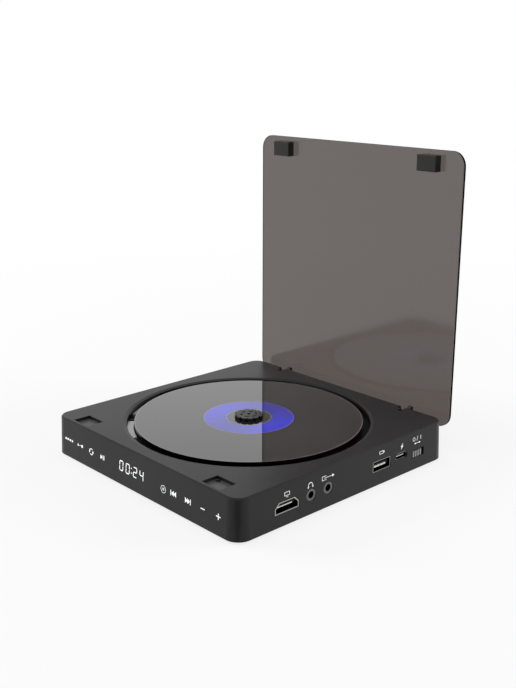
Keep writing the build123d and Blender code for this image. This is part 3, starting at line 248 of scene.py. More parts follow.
# %% [markdown]
# The hub that grips the disc is acetal with a ring of springy fingers, whose many small faces
# glint one by one. Modelling every fillet of them would take more faces than the disc has. A
# coarse, deep bump of 1 mm breaks up the highlight in the same way.

# %% Hub plastic
HUB_GRAIN_MM = 1.0
HUB_GRAIN_DEPTH_MM = 0.22
hub_acetal = moulded(
    "hub_black_acetal", "#050606", "#090A0A", roughness=0.24, specular=0.22,
    grain_mm=HUB_GRAIN_MM, depth_mm=HUB_GRAIN_DEPTH_MM,
)
print("hub grain", HUB_GRAIN_MM, "mm")

# %% [markdown]
# Inside, each plastic has its task: PBT stands the heat of soldering, acetal runs without oil, and
# a film keeps the battery dry. They hardly show, so they differ only in tone and roughness.

# %% Plastics of the sockets and the drive
# PBT with glass fibre: an even, dark grey for chips, switches, chassis and carriage.
module_pbt = moulded("module_black_pbt", "#161617", "#1C1C1D", roughness=0.45, specular=0.5)
# The tongues in the sockets are a matt black resin, against which the contacts show.
dark_tongue = moulded("tongue_black_lcp", "#0E0E0F", "#131314", roughness=0.5, specular=0.3)
# Undyed acetal is the milky white of small gears.
gear_acetal = moulded("gear_natural_acetal", "#D8D5C9", "#E2DFD3", roughness=0.35, specular=0.5)
# The battery is wrapped in a thin blue film, which shines more than the plastics round it.
battery_film = moulded("battery_blue_film", "#2B3F66", "#30466F", roughness=0.3, specular=0.5)
print("inner plastics:", module_pbt.name, dark_tongue.name, gear_acetal.name, battery_film.name)

# %% [markdown]
# Rubber is matt and slightly dusty, so it has a broad, weak highlight and a coarser skin than
# plastic. The lid's two blocks are a firmer rubber from a smooth mould, and shine a little.

# %% Rubbers
rubber_black = moulded(
    "rubber_black", "#19191A", "#1F1F20", roughness=0.75, specular=0.3, grain_mm=0.5, depth_mm=0.02,
)
block_rubber = moulded(
    "block_smooth_rubber", "#131310", "#181814", roughness=0.42, specular=0.36, grain_mm=0.6,
)
print("rubbers:", rubber_black.name, block_rubber.name)


# %% [markdown]
# Drawn and turned metal keeps fine marks along one direction, which spread its highlight across
# them. An anisotropic shader could do that, but it needs a tangent on every face. A noise that
# is squeezed along one axis and drives the roughness gives the same streaks. Real marks are a
# few hundredths of a millimetre wide, and are drawn 0.4 mm wide so that they show.

# %% Metal with fine marks
MARK_MM = 0.4
SMOOTHEST = 0.8
ROUGHEST = 1.25
FINE_ALONG_X = (12.0, 1.0, 1.0)
FINE_ALONG_Z = (1.0, 1.0, 12.0)


def metal(name, colour, roughness, stretch=FINE_ALONG_Z):
    material, tree, shader = new_material(name)
    shader.inputs["Base Color"].default_value = linear(colour)
    shader.inputs["Metallic"].default_value = 1.0
    place = add(tree, "ShaderNodeTexCoord")
    mapping = add(tree, "ShaderNodeMapping", {"Vector": place.outputs["Object"], "Scale": stretch})
    noise = add(tree, "ShaderNodeTexNoise", {
        "Vector": mapping.outputs["Vector"], "Scale": 1 / (MARK_MM * MM), "Detail": 2.0,
    })
    spread = add(tree, "ShaderNodeMapRange", {
        "Value": noise.outputs["Fac"], "To Min": roughness * SMOOTHEST, "To Max": roughness * ROUGHEST,
    })
    tree.links.new(spread.outputs["Result"], shader.inputs["Roughness"])
    return material


print("metal marks", MARK_MM, "mm wide")

# %% [markdown]
# Four metals are enough for the drive, the screws and the contacts. All are fully metallic with
# the default IOR, because a metal's colour is its reflection; only tone and roughness differ.

# %% Screws, rods, motors and contacts
# Black zinc on the screws: dark, with a dull metal glint.
screw_zinc = metal("screw_black_zinc", "#5A5B5F", 0.35)
# Ground steel for rods, pins and shaft: bright, with a sharp highlight.
rod_steel = metal("rod_ground_steel", "#B9BBBE", 0.2, FINE_ALONG_X)
# Plated steel round the motors: bright but softer.
motor_steel = metal("motor_plated_steel", "#A9ABAE", 0.3)
# Tin on the contacts: nearly white, so that the thin ends show as a pale line.
contact_tin = metal("contact_tin_plate", "#DEDDDA", 0.3)
print("metals:", screw_zinc.name, rod_steel.name, motor_steel.name, contact_tin.name)


# %% [markdown]
# A socket's shell is bright only at its rim. Further in the surface is dull and light hardly reaches it. So
# the shade is painted: the depth behind the piece's own front face blends the rim's colour into a dark one,
# which reads well from every side, where shade painted from one direction would be right from one only.

# %% Colour with painted shade inwards
RIM_STARTS = 0.06
RIM_ENDS = 0.36


def shaded_inwards(name, piece, colour, metallic, roughness, inner="#0B0B0C"):
    material, tree, shader = new_material(name)
    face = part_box(piece)[1].x
    place = add(tree, "ShaderNodeTexCoord")
    depth = add(tree, "ShaderNodeSeparateXYZ", {"Vector": place.outputs["Object"]})
    rim = add(tree, "ShaderNodeMapRange", {
        "Value": depth.outputs["X"],
        "From Min": face - RIM_ENDS * MM, "From Max": face - RIM_STARTS * MM,
    })
    # Painted shade: the rim's colour darkens towards the inner one with depth.
    shade = add(tree, "ShaderNodeValToRGB", {"Fac": rim.outputs["Result"]})
    shade.color_ramp.elements[0].color = linear(inner)
    shade.color_ramp.elements[1].color = linear(colour)
    tree.links.new(shade.outputs["Color"], shader.inputs["Base Color"])
    shader.inputs["Metallic"].default_value = metallic
    shader.inputs["Roughness"].default_value = roughness
    return material


print("rims fade out", RIM_ENDS, "mm behind the face")

# %% [markdown]
# The three shells are drawn from steel and plated with nickel. The jacks and the switch's knob are plain
# grey plastic. Each has its own front face, so each gets its own copy of the finish and of its painted
# shade.

# %% Shells, jacks and knob
# Nickel on the three shells: a warm grey metal line round each opening, with painted shade inside.
video_nickel = shaded_inwards("video_shell_nickel", "hdmi_shell", "#A6A5A3", 1.0, 0.3)
usb_nickel = shaded_inwards("usb_shell_nickel", "usb_shell", "#8A8987", 1.0, 0.3)
charge_nickel = shaded_inwards("charge_shell_nickel", "charge_shell", "#7A7978", 1.0, 0.3)
# The jacks' PBT shows as a plain grey ring round a bore darkened by painted shade.
jack_ring = shaded_inwards("jack_grey_pbt", "headphone_jack", "#5C5C5D", 0.0, 0.35)
# The switch's ABS knob is pale on its ribs, with painted shade in the deeper gaps between them.
knob_abs = shaded_inwards("knob_grey_abs", "switch_knob", "#8A8A8D", 0.0, 0.4, "#3C3C3E")
print("shells:", video_nickel.name, usb_nickel.name, charge_nickel.name)

# %% [markdown]
# A circuit board is glass fibre under a glossy green solder mask, with copper tracks below it.
# The boards lie deep inside, so tracks drawn one by one would be wasted. A brick pattern of 6 mm
# fields with pale joints gives the same impression; real tracks are finer than it shows.

# %% Circuit board
FIELD_MM = 6.0
board_green, tree, shader = new_material("board_solder_mask")
place = add(tree, "ShaderNodeTexCoord")
fields = add(tree, "ShaderNodeTexBrick", {
    "Vector": place.outputs["Object"], "Scale": 1 / (FIELD_MM * MM), "Mortar Size": 0.03,
    "Color1": linear("#0F4A2A"), "Color2": linear("#11522E"), "Mortar": linear("#1C6B40"),
})
tree.links.new(fields.outputs["Color"], shader.inputs["Base Color"])
shader.inputs["Roughness"].default_value = 0.3
print("board fields", FIELD_MM, "mm")

# %% [markdown]
# The disc is a clear polycarbonate plate, printed on its face. From the centre out there are a clear
# clamping zone, a blue ring, a dark lacquer and a paler rim; the rim's pale tone is a painted highlight
# along the disc's edge. A picture could hold them, but the distance from the spindle picks the colour just
# as well, with edges that stay sharp.

# %% Printed rings
RING_STARTS = (
    (0.0, "#1E1D1C"),
    (11.5, "#8E90B4"),
    (11.9, "#22207A"),
    (12.5, "#1C22BC"),
    (23.2, "#5C52B4"),
    (23.7, "#14121C"),
    (24.1, "#0F0C0B"),
    # Painted highlight: the paler rim stands in for the line of light along the disc's edge.
    (59.2, "#4E4146"),
)
disc_print_and_sheen, tree, shader = new_material("disc_printed_lacquer_painted_sheen")
place = add(tree, "ShaderNodeTexCoord")
centred = add(tree, "ShaderNodeVectorMath", {
    0: place.outputs["Object"], 1: (0, -SPINDLE_Y * MM, 0),
}, operation="ADD")
flat = add(tree, "ShaderNodeVectorMath", {0: centred.outputs["Vector"], 1: (1, 1, 0)}, operation="MULTIPLY")
reach = add(tree, "ShaderNodeVectorMath", {0: flat.outputs["Vector"]}, operation="LENGTH")
share = add(tree, "ShaderNodeMath", {0: reach.outputs["Value"], 1: DISC_RADIUS * MM}, operation="DIVIDE")
rings = add(tree, "ShaderNodeValToRGB", {"Fac": share.outputs["Value"]})
rings.color_ramp.interpolation = "CONSTANT"
while len(rings.color_ramp.elements) < len(RING_STARTS):
    rings.color_ramp.elements.new(1.0)
for element, (radius, colour) in zip(rings.color_ramp.elements, RING_STARTS):
    element.position = radius / DISC_RADIUS
    element.color = linear(colour)
print("disc rings:", len(RING_STARTS))

# %% [markdown]
# Under the lacquer lie the disc's fine tracks. They bend the light, so that its tone swells and sinks twice
# on the way round. That sheen is painted into the colour: a sine of twice the angle about the spindle
# follows it, and it turns with the disc, as a lamp's own reflection would not.

# %% Painted sheen round the disc
SHEEN_PHASE = 1.2
SHEEN_LOW = 0.75
SHEEN_HIGH = 1.35
split = add(tree, "ShaderNodeSeparateXYZ", {"Vector": flat.outputs["Vector"]})
angle = add(tree, "ShaderNodeMath", {0: split.outputs["Y"], 1: split.outputs["X"]}, operation="ARCTAN2")
twice = add(tree, "ShaderNodeMath", {
    0: angle.outputs["Value"], 1: 2.0, 2: SHEEN_PHASE,
}, operation="MULTIPLY_ADD")
wave = add(tree, "ShaderNodeMath", {0: twice.outputs["Value"]}, operation="SINE")
sheen = add(tree, "ShaderNodeMapRange", {
    "Value": wave.outputs["Value"],
    "From Min": -1.0, "From Max": 1.0, "To Min": SHEEN_LOW, "To Max": SHEEN_HIGH,
})
print("sheen from", SHEEN_LOW, "to", SHEEN_HIGH, "of the tone")

# %% [markdown]
# Only the top face is printed. The side wall is clear plastic that looks nearly black, so
# everything a little below the top is darkened. A smooth clear coat over the print mirrors the
# room: half of the disc is pale, and the half that faces the lid stays dark.

# %% Print on the top face only
PRINT_FOOT = DISC_TOP - 0.04
PRINT_FULL = DISC_TOP - 0.01
SIDE_TONE = 0.05
level = add(tree, "ShaderNodeSeparateXYZ", {"Vector": place.outputs["Object"]})
printed = add(tree, "ShaderNodeMapRange", {
    "Value": level.outputs["Z"],
    "From Min": PRINT_FOOT * MM, "From Max": PRINT_FULL * MM, "To Min": SIDE_TONE, "To Max": 1.0,
})
tone = add(tree, "ShaderNodeMath", {
    0: sheen.outputs["Result"], 1: printed.outputs["Result"],
}, operation="MULTIPLY")
shaded = add(tree, "ShaderNodeVectorMath", {
    0: rings.outputs["Color"], "Scale": tone.outputs["Value"],
}, operation="SCALE")
tree.links.new(shaded.outputs["Vector"], shader.inputs["Base Color"])
shader.inputs["Roughness"].default_value = 0.02
shader.inputs["Specular IOR Level"].default_value = 0.8
shader.inputs["Coat Weight"].default_value = 0.42
shader.inputs["Coat Roughness"].default_value = 0.02
print("printed above", round(PRINT_FOOT, 2), "mm")

# %% [markdown]
# The lid is a cast sheet of smoked acrylic, with an IOR of 1.49. Light crosses both of its faces,
# so each face takes its share of the tint; colour in the volume would be truer, but slower and
# lost in the export. Light that runs inside the sheet is swallowed at its sawn edges, so the
# faces are told from the edges by their normal, and the edges stay dark and dull.

# %% Smoked acrylic
LARGE_FACE = 0.7
ACRYLIC_IOR = 1.49
FACE_POLISH = 0.4
smoked, tree, shader = new_material("lid_smoked_acrylic")
place = add(tree, "ShaderNodeTexCoord")
facing = add(tree, "ShaderNodeSeparateXYZ", {"Vector": place.outputs["Normal"]})
across = add(tree, "ShaderNodeMath", {0: facing.outputs["Y"]}, operation="ABSOLUTE")
sheet = add(tree, "ShaderNodeMath", {0: across.outputs["Value"], 1: LARGE_FACE}, operation="GREATER_THAN")
tint = add(tree, "ShaderNodeValToRGB", {"Fac": sheet.outputs["Value"]})
tint.color_ramp.elements[0].color = linear("#0A0A09")
tint.color_ramp.elements[1].color = linear("#625B58")
tree.links.new(tint.outputs["Color"], shader.inputs["Base Color"])
tree.links.new(sheet.outputs["Value"], shader.inputs["Transmission Weight"])
polish = add(tree, "ShaderNodeMath", {0: sheet.outputs["Value"], 1: FACE_POLISH}, operation="MULTIPLY")
tree.links.new(polish.outputs["Value"], shader.inputs["Specular IOR Level"])
shader.inputs["IOR"].default_value = ACRYLIC_IOR
# Slightly satin, so that the disc shows in the lid only as a soft shade.
shader.inputs["Roughness"].default_value = 0.09
print("lid:", smoked.name)

# %% [markdown]
# The marks on the front are lit from behind through the thin wall, so they are white and shine by
# themselves. Those on the side are white ink. Their strokes are thinner than a pixel, and a
# little light of their own keeps them as clear as ink is to the eye.

# %% Lit marks and white ink
lit_mark, tree, shader = new_material("mark_lit_white")
shader.inputs["Base Color"].default_value = linear("#E9EBEC")
shader.inputs["Emission Color"].default_value = linear("#EEF1F3")
shader.inputs["Emission Strength"].default_value = 0.55
print_white, tree, shader = new_material("print_white_ink")
shader.inputs["Base Color"].default_value = linear("#E6E6E6")
shader.inputs["Emission Color"].default_value = linear("#E6E6E6")
shader.inputs["Emission Strength"].default_value = 0.25
shader.inputs["Roughness"].default_value = 0.6
print("marks:", lit_mark.name, print_white.name)

# %% [markdown]
# The pickup's lens is moulded and has a blue coating against reflections. It is about 5 mm wide
# and sits under the disc, so a smooth blue surface is enough, without the cost of refraction.

# %% Lens
lens_glass, tree, shader = new_material("lens_coated")
shader.inputs["Base Color"].default_value = linear("#3A4A78")
shader.inputs["Roughness"].default_value = 0.05
print("lens:", lens_glass.name)

# %% [markdown]
# Each solid gets the finish of the real piece. The list runs by finish, so that pieces of one
# material stand together, and the check after it shows whether a solid was forgotten.

# %% Dress the solids
finishes = {
    housing_abs: ["upper_housing"],
    cover_abs: ["base_cover"],
    well_abs: ["disc_well"],
    rubber_black: ["rubber_feet", "drive_dampers", "turntable_mat"],
    block_rubber: ["lid_block_left", "lid_block_right"],
    arm_nylon: ["hinge_arm_left", "hinge_arm_right"],
    hub_acetal: ["turntable"],
    knob_abs: ["switch_knob"],
    module_pbt: [
        "display_module", "board_chips", "power_switch", "lid_switch", "drive_chassis", "pickup_carriage",
    ],
    jack_ring: ["headphone_jack", "av_jack"],
    dark_tongue: ["usb_tongue", "hdmi_tongue", "charge_tongue"],
    gear_acetal: ["sled_rack", "reduction_gear", "motor_pinion"],
    plunger_abs: ["switch_plunger"],
    battery_film: ["battery_pack"],
    video_nickel: ["hdmi_shell"],
    usb_nickel: ["usb_shell"],
    charge_nickel: ["charge_shell"],
    screw_zinc: ["base_screws", "board_screws", "drive_screws"],
    rod_steel: ["guide_rods", "hinge_pins", "spindle_shaft", "gear_post"],
    motor_steel: ["spindle_rotor", "spindle_stator", "sled_motor"],
    board_green: ["main_board", "touch_board", "lid_switch_board"],
    disc_print_and_sheen: ["disc"],
    smoked: ["lid_panel"],
    lens_glass: ["pickup_lens"],
}
for material, names in finishes.items():
    for name in names:
        nodes[name].data.materials.clear()
        nodes[name].data.materials.append(material)
undressed = set(nodes) - {name for names in finishes.values() for name in names}
print("solids without a finish:", sorted(undressed))

# %% [markdown]
# The housing's flat walls meet in narrow bevels. Smooth shading alone would smear them over the
# walls, and flat shading would show each facet of the round corners. So the mesh is split where
# it turns by more than 18.3 degrees, and the normals are then weighted by the size of the faces.

# %% Crisp bevels
SHARP_FROM = 18.3  # degrees
crisp = nodes["upper_housing"].modifiers.new("crisp_bevels", "EDGE_SPLIT")
crisp.split_angle = math.radians(SHARP_FROM)
crisp.use_edge_sharp = False
nodes["upper_housing"].modifiers.new("face_weighted", "WEIGHTED_NORMAL")
print("sharp from", SHARP_FROM, "degrees")


# %% [markdown]
# Printed and lit signs lie on walls that lean. They could be modelled flat and turned into place,
# but it is simpler to let a function say where a flat point of a wall lies in the room, and how
# far it is lifted off that wall.

# %% Points on the walls
def on_front(x, z, out):
    return Vector((x, FRONT_Y + (z - BOTTOM_Z) * DRAFT - out, z)) * MM


def on_right(y, z, out):
    return Vector((RIGHT_X - (z - BOTTOM_Z) * DRAFT + out, y, z)) * MM


print("front wall at half height:", [round(v / MM, 2) for v in on_front(0, DECK_Z / 2, 0)])

# %% [markdown]
# A sign is a very thin plate with the sign's outline: a picture on the wall would blur up close,
# and a text object would bring its own typeface. Each outline gets two faces and a rim, so that
# it is a closed body, and it is lifted by a hair so that it doesn't flicker against the wall.

# %% Plates from outlines
LIFT = 0.01
THICK = 0.03


def plates(name, outlines, wall, material, thick=THICK):
    mesh = bmesh.new()
    for outline in outlines:
        under = [mesh.verts.new(wall(u, v, LIFT)) for u, v in outline]
        over = [mesh.verts.new(wall(u, v, LIFT + thick)) for u, v in outline]
        mesh.faces.new(over)
        mesh.faces.new(under[::-1])
        for i in range(len(outline)):
            j = (i + 1) % len(outline)
            mesh.faces.new((under[i], under[j], over[j], over[i]))
    bmesh.ops.recalc_face_normals(mesh, faces=mesh.faces)
    data = bpy.data.meshes.new(name)
    mesh.to_mesh(data)
    mesh.free()
    data.materials.append(material)
    piece = bpy.data.objects.new(name, data)
    bpy.context.scene.collection.objects.link(piece)
    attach(piece, "base")
    print(name, "has", len(outlines), "plates")


# %% [markdown]
# All signs are made of four shapes: a straight stroke, a curved one, a ring and a triangle. The
# straight stroke is a rectangle about its middle line, given by its two ends.

# %% Straight strokes
def bar(u0, v0, u1, v1, width):
    along = Vector((u1 - u0, v1 - v0)).normalized()
    side = Vector((-along.y, along.x)) * width / 2
    start = [(u0 + side.x, v0 + side.y), (u0 - side.x, v0 - side.y)]
    end = [(u1 - side.x, v1 - side.y), (u1 + side.x, v1 + side.y)]
    return start + end


print("a stroke has", len(bar(0, 0, 1, 0, 0.1)), "corners")


# %% [markdown]
# A curved stroke runs between two angles, out along its larger circle and back along its smaller
# one. A whole ring would need a hole in its outline, so it is made of two half rings.

# %% Curved strokes and rings
def arc_band(u, v, radius, width, start, end, steps=10):
    angles = [math.radians(start + (end - start) * i / steps) for i in range(steps + 1)]
    outer = radius + width / 2
    inner = radius - width / 2
    there = [(u + outer * math.cos(a), v + outer * math.sin(a)) for a in angles]
    back = [(u + inner * math.cos(a), v + inner * math.sin(a)) for a in reversed(angles)]
    return there + back


def ring_bands(u, v, radius, width):
    return [arc_band(u, v, radius, width, 0, 180), arc_band(u, v, radius, width, 180, 360)]


print("a half ring has", len(ring_bands(0, 0, 1, 0.1)[0]), "corners")


# %% [markdown]
# Arrow heads are filled triangles that point along any angle. The wedges of the play and skip
# signs always point along the wall, so they are given by their base, reach and half height.

# %% Triangles
def arrow_tip(u, v, size, direction):
    corners = [(size, 0), (-size * 0.6, size * 0.85), (-size * 0.6, -size * 0.85)]
    turn = math.radians(direction)
    return [
        (u + a * math.cos(turn) - b * math.sin(turn), v + a * math.sin(turn) + b * math.cos(turn))
        for a, b in corners
    ]


def wedge(u, v, reach, half):
    return [(u, v - half), (u, v + half), (u + reach, v)]


print("an arrow head has", len(arrow_tip(0, 0, 1, 0)), "corners")


# %% [markdown]
# The front wall is a touch panel: lamps behind it light its signs. The two at the left are plain
# function signs: a row of dashes, and a triangle, a dash and a square. Each sign is a function of
# its place along the wall, and lengths inside it are millimetres from that place. All signs share
# one middle height, so it is set here once.

# %% Two function signs
MARK_Z = 10.2
DASH_STEP = 2.0
DASH_LENGTH = 1.25
DASH_HEIGHT = 1.1


def dashes_sign(x):
    z = MARK_Z + 0.5
    lefts = [x + DASH_STEP * column for column in range(4)]
    return [bar(left, z, left + DASH_LENGTH, z, DASH_HEIGHT) for left in lefts]


def shapes_sign(x):
    z = MARK_Z + 0.3
    triangle = arrow_tip(x, z, 0.9, 90)
    dash = bar(x + 1.3, z, x + 2.2, z, 0.35)
    square = bar(x + 2.9, z, x + 4.4, z, 1.45)
    return [triangle, dash, square]


print("signs stand at a height of", MARK_Z, "mm")


# %% [markdown]
# Repeat is two arcs that chase each other round a circle, each with an arrow head. One outline
# could follow both, but its points would be hard to work out. An arc and a triangle that overlap
# look the same, because both are lit by the same material.

# %% Sign for repeat
LOOP_RADIUS = 1.55
LOOP_STROKE = 0.42
LOOP_STARTS = (50, 230)  # degrees
LOOP_SPAN = 115  # degrees
LOOP_TIP = 0.8


def repeat_sign(x):
    arcs = [arc_band(x, MARK_Z, LOOP_RADIUS, LOOP_STROKE, a, a + LOOP_SPAN) for a in LOOP_STARTS]
    left_tip = arrow_tip(x - 1.5, MARK_Z - 0.1, LOOP_TIP, 262)
    right_tip = arrow_tip(x + 1.5, MARK_Z + 0.1, LOOP_TIP, 82)
    return arcs + [left_tip, right_tip]


print("repeat sign has arcs of", LOOP_SPAN, "degrees")


# %% [markdown]
# Play and pause share one sign: a wedge and two upright bars. The skip signs are two wedges and a
# stop bar. Back and forwards are mirror images, so one function draws both.

# %% Signs for play and skip
WEDGE_REACH = 1.8
UPRIGHT = 0.45
PLAY_HALF = 1.25
PAUSE_BARS = (2.2, 3.1)
SKIP_HALF = 1.4
SKIP_BASES = (1.95, 0.25)
STOP_BAR = 1.95
BACK = -1
FORWARDS = 1


def upright(x, half):
    return bar(x, MARK_Z - half, x, MARK_Z + half, UPRIGHT)


def play_sign(x):
    uprights = [upright(x + out, PLAY_HALF) for out in PAUSE_BARS]
    return [wedge(x, MARK_Z, WEDGE_REACH, PLAY_HALF)] + uprights


def skip_sign(x, way):
    wedges = [wedge(x - way * base, MARK_Z, way * WEDGE_REACH, SKIP_HALF) for base in SKIP_BASES]
    return wedges + [upright(x + way * STOP_BAR, SKIP_HALF)]


print("play sign", 2 * PLAY_HALF, "mm high, skip signs", 2 * SKIP_HALF, "mm")


# %% [markdown]
# The round sign is a fine ring with three lines in it. It is the finest of the lit signs, so its
# strokes are half as wide as those of the others.

# %% Round sign
FINE = 0.24
ROUND_RADIUS = 1.8


def round_sign(x):
    z = MARK_Z - 0.3
    lines = [bar(x - 0.7, z + step, x + 0.7, z + step, FINE) for step in (-0.5, 0.0, 0.5)]
    return ring_bands(x, z, ROUND_RADIUS, FINE) + lines


print("round sign", 2 * ROUND_RADIUS, "mm wide")


# %% [markdown]
# Minus and plus set the volume. The plus has its upright in two halves, so that no two plates
# overlap where the strokes cross.

# %% Signs for the volume
VOLUME_STROKE = 0.5


def minus_sign(x):
    return [bar(x - 1.4, MARK_Z - 0.1, x + 1.4, MARK_Z - 0.1, VOLUME_STROKE)]


def plus_sign(x):
    level = bar(x - 1.5, MARK_Z, x + 1.5, MARK_Z, VOLUME_STROKE)
    above = bar(x, MARK_Z + VOLUME_STROKE / 2, x, MARK_Z + 1.5, VOLUME_STROKE)
    below = bar(x, MARK_Z - 1.5, x, MARK_Z - VOLUME_STROKE / 2, VOLUME_STROKE)
    return [level, above, below]


print("volume signs: minus and plus")

# %% [markdown]
# The signs stand in one row along the front, at places measured from the middle of the wall. They
# become one piece, because they light up together.

# %% Touch marks on the front
front_marks = dashes_sign(-63.9) + shapes_sign(-51.7) + repeat_sign(-39.6) + play_sign(-31.2)
front_marks += round_sign(20.7) + skip_sign(28.35, BACK) + skip_sign(38.85, FORWARDS)
front_marks += minus_sign(49.5) + plus_sign(60.3)
plates("touch_marks", front_marks, on_front, lit_mark)

# %% [markdown]
# The time is shown by seven-segment digits. Each segment is a bar with pointed ends, so that
# neighbours meet in a clean corner. A font could draw the figures, but only segments look like a
# display, and the whole figure leans a little to the right as on most players.

# %% One segment
SEGMENT = 0.54
SEGMENT_GAP = 0.08


def segment(u0, v0, u1, v1):
    along = Vector((u1 - u0, v1 - v0)).normalized()
    side = Vector((-along.y, along.x)) * SEGMENT / 2
    tip = along * SEGMENT / 2
    a = Vector((u0, v0)) + along * SEGMENT_GAP
    b = Vector((u1, v1)) - along * SEGMENT_GAP
    points = [a, a + tip + side, b - tip + side, b, b - tip - side, a + tip - side]
    return [(p.x, p.y) for p in points]


print("a segment is", SEGMENT, "mm wide")

# %% [markdown]
# By custom the segments are called a to g, clockwise from the top, with g in the middle. Only the
# lit ones are built: the dark ones can't be seen through the wall.

# %% Digits from segments
DIGIT_HEIGHT = 5.0
DIGIT_WIDTH = 2.7
LEAN = 0.06
LIT = {"0": "abcdef", "2": "abged", "4": "fgbc"}


def digit(character, u, v):
    half = DIGIT_HEIGHT / 2
    ends = {
        "a": (0, half * 2, DIGIT_WIDTH, half * 2), "b": (DIGIT_WIDTH, half * 2, DIGIT_WIDTH, half),
        "c": (DIGIT_WIDTH, half, DIGIT_WIDTH, 0), "d": (0, 0, DIGIT_WIDTH, 0),
        "e": (0, half, 0, 0), "f": (0, half * 2, 0, half), "g": (0, half, DIGIT_WIDTH, half),
    }
    shapes = [segment(*ends[key]) for key in LIT[character]]
    return [[(u + a + b * LEAN, v + b) for a, b in shape] for shape in shapes]


print("a digit is", DIGIT_WIDTH, "by", DIGIT_HEIGHT, "mm")

# %% [markdown]
# Four digits and a colon make the time. The colon's dots are small octagons, which look round at
# their size.

# %% The time
TIME = "0024"
DIGIT_LEFTS = (-14.6, -9.3, -3.2, 2.0)
DIGIT_FOOT = 8.5
COLON_X = -4.75
DOT_HEIGHTS = (9.8, 12.2)
DOT_RADIUS = 0.35
time_marks = []
for left, character in zip(DIGIT_LEFTS, TIME):
    time_marks += digit(character, left, DIGIT_FOOT)
dot_angles = [k * math.pi / 4 for k in range(8)]
for height in DOT_HEIGHTS:
    dot = [(COLON_X + DOT_RADIUS * math.cos(a), height + DOT_RADIUS * math.sin(a)) for a in dot_angles]
    time_marks.append(dot)
plates("time_digits", time_marks, on_front, lit_mark)

# %% [markdown]
# Left of the disc two pale arcs lie on the well's floor, one on each side of a rib, and show as bright
# crescents in the dark gap. They are a painted reflection of the bright room, laid only where that
# reflection would show. They are curved strokes like those of the signs, laid flat and thicker, so the same
# helpers build them.

# %% Pale arcs of painted reflection in the well
WELL_DEPTH = 4.2
ARC_OFFSET = 2.15
ARC_WIDTH = 3.4
ARC_THICK = 1.2
ARC_STEPS = 24
ARC_SPANS = ((-172, -143.5), (-134, -112))  # degrees about the spindle


def on_well_floor(x, y, out):
    return Vector((x, y, DECK_Z - WELL_DEPTH + out)) * MM


ARC_RADIUS = DISC_RADIUS + ARC_OFFSET
arcs = [arc_band(0, SPINDLE_Y, ARC_RADIUS, ARC_WIDTH, start, end, ARC_STEPS) for start, end in ARC_SPANS]
# These arcs are a painted reflection, not a real pale part of the well.
plates("well_reflection_arcs", arcs, on_well_floor, reflection_arc_abs, thick=ARC_THICK)


# %% [markdown]
# In each socket a row of contacts ends at the front face of the tongue. From a step away they run
# together into one pale line, but up close they are single, so they are built one by one.

# %% Rows of contacts
def on_face(piece):
    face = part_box(piece)[1].x / MM
    return lambda y, z, out: Vector((face + out, y, z)) * MM


def contact_row(name, tongue, first, pitch, count, width, z, height):
    lefts = [first + pitch * i for i in range(count)]
    ends = [bar(left, z, left + width, z, height) for left in lefts]
    plates(name, ends, on_face(tongue), contact_tin)


contact_row(
    "hdmi_contacts", "hdmi_tongue", first=-50.9, pitch=0.97, count=10, width=0.9, z=10.2, height=0.5,
)
contact_row(
    "usb_contacts", "usb_tongue", first=15.6, pitch=2.15, count=4, width=1.95, z=10.48, height=0.9,
)

# %% [markdown]
# The charging socket is tiny, and a contact that hung over the tongue's end would show at once.
# So this row is placed from the tongue's own box, and is centred on its height.

# %% Charging contacts
tongue_low, tongue_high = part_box("charge_tongue")
contact_row(
    "charge_contacts", "charge_tongue", first=tongue_low.y / MM + 0.3, pitch=0.95, count=6, width=0.85,
    z=(tongue_low.z + tongue_high.z) / 2 / MM, height=0.4,
)

# %% [markdown]
# White ink over the sockets tells what each is for. A screen, an outgoing arrow and a plug share
# one form, a small rectangle, so one function draws it, closed or open to the right. Its upright
# strokes run a little past the level ones, which closes the corners.

# %% Rectangles for the side signs
STROKE = 0.27
CORNER = 0.1


def rectangle(y0, z0, y1, z1, closed=True):
    level = [bar(y0, z, y1, z, STROKE) for z in (z0, z1)]
    sides = (y0, y1) if closed else (y0,)
    return level + [bar(y, z0 - CORNER, y, z1 + CORNER, STROKE) for y in sides]


print("strokes of the side signs are", STROKE, "mm wide")

# %% [markdown]
# The screen stands on a short foot. The headphones are a half ring with a cushion at each end.
# The outgoing arrow leaves an open box.

# %% Screen, headphones and outgoing arrow
screen_sign = rectangle(-47.0, 15.2, -43.9, 16.8) + [bar(-46.1, 14.5, -44.8, 14.5, STROKE)]
HEAD_Y = -30.4
cushions = [bar(HEAD_Y + way * 1.6, 14.2, HEAD_Y + way * 1.3, 15.4, 0.6) for way in (-1, 1)]
headphones_sign = [arc_band(HEAD_Y, 15.35, 1.4, 0.36, 10, 170)] + cushions
ARROW_Z = 16.05
arrow = [bar(-21.2, ARROW_Z, -16.0, ARROW_Z, STROKE), arrow_tip(-15.3, ARROW_Z, 0.95, 0)]
outgoing_sign = rectangle(-22.6, 15.1, -19.8, 17.0, closed=False) + arrow
side_marks = screen_sign + headphones_sign + outgoing_sign
print("first three side signs:", len(side_marks), "plates")

# %% [markdown]
# The plug is a rectangle with a pin. The bolt is two triangles that point up and down, joined by
# a slanting middle; it is symmetric about its own centre.

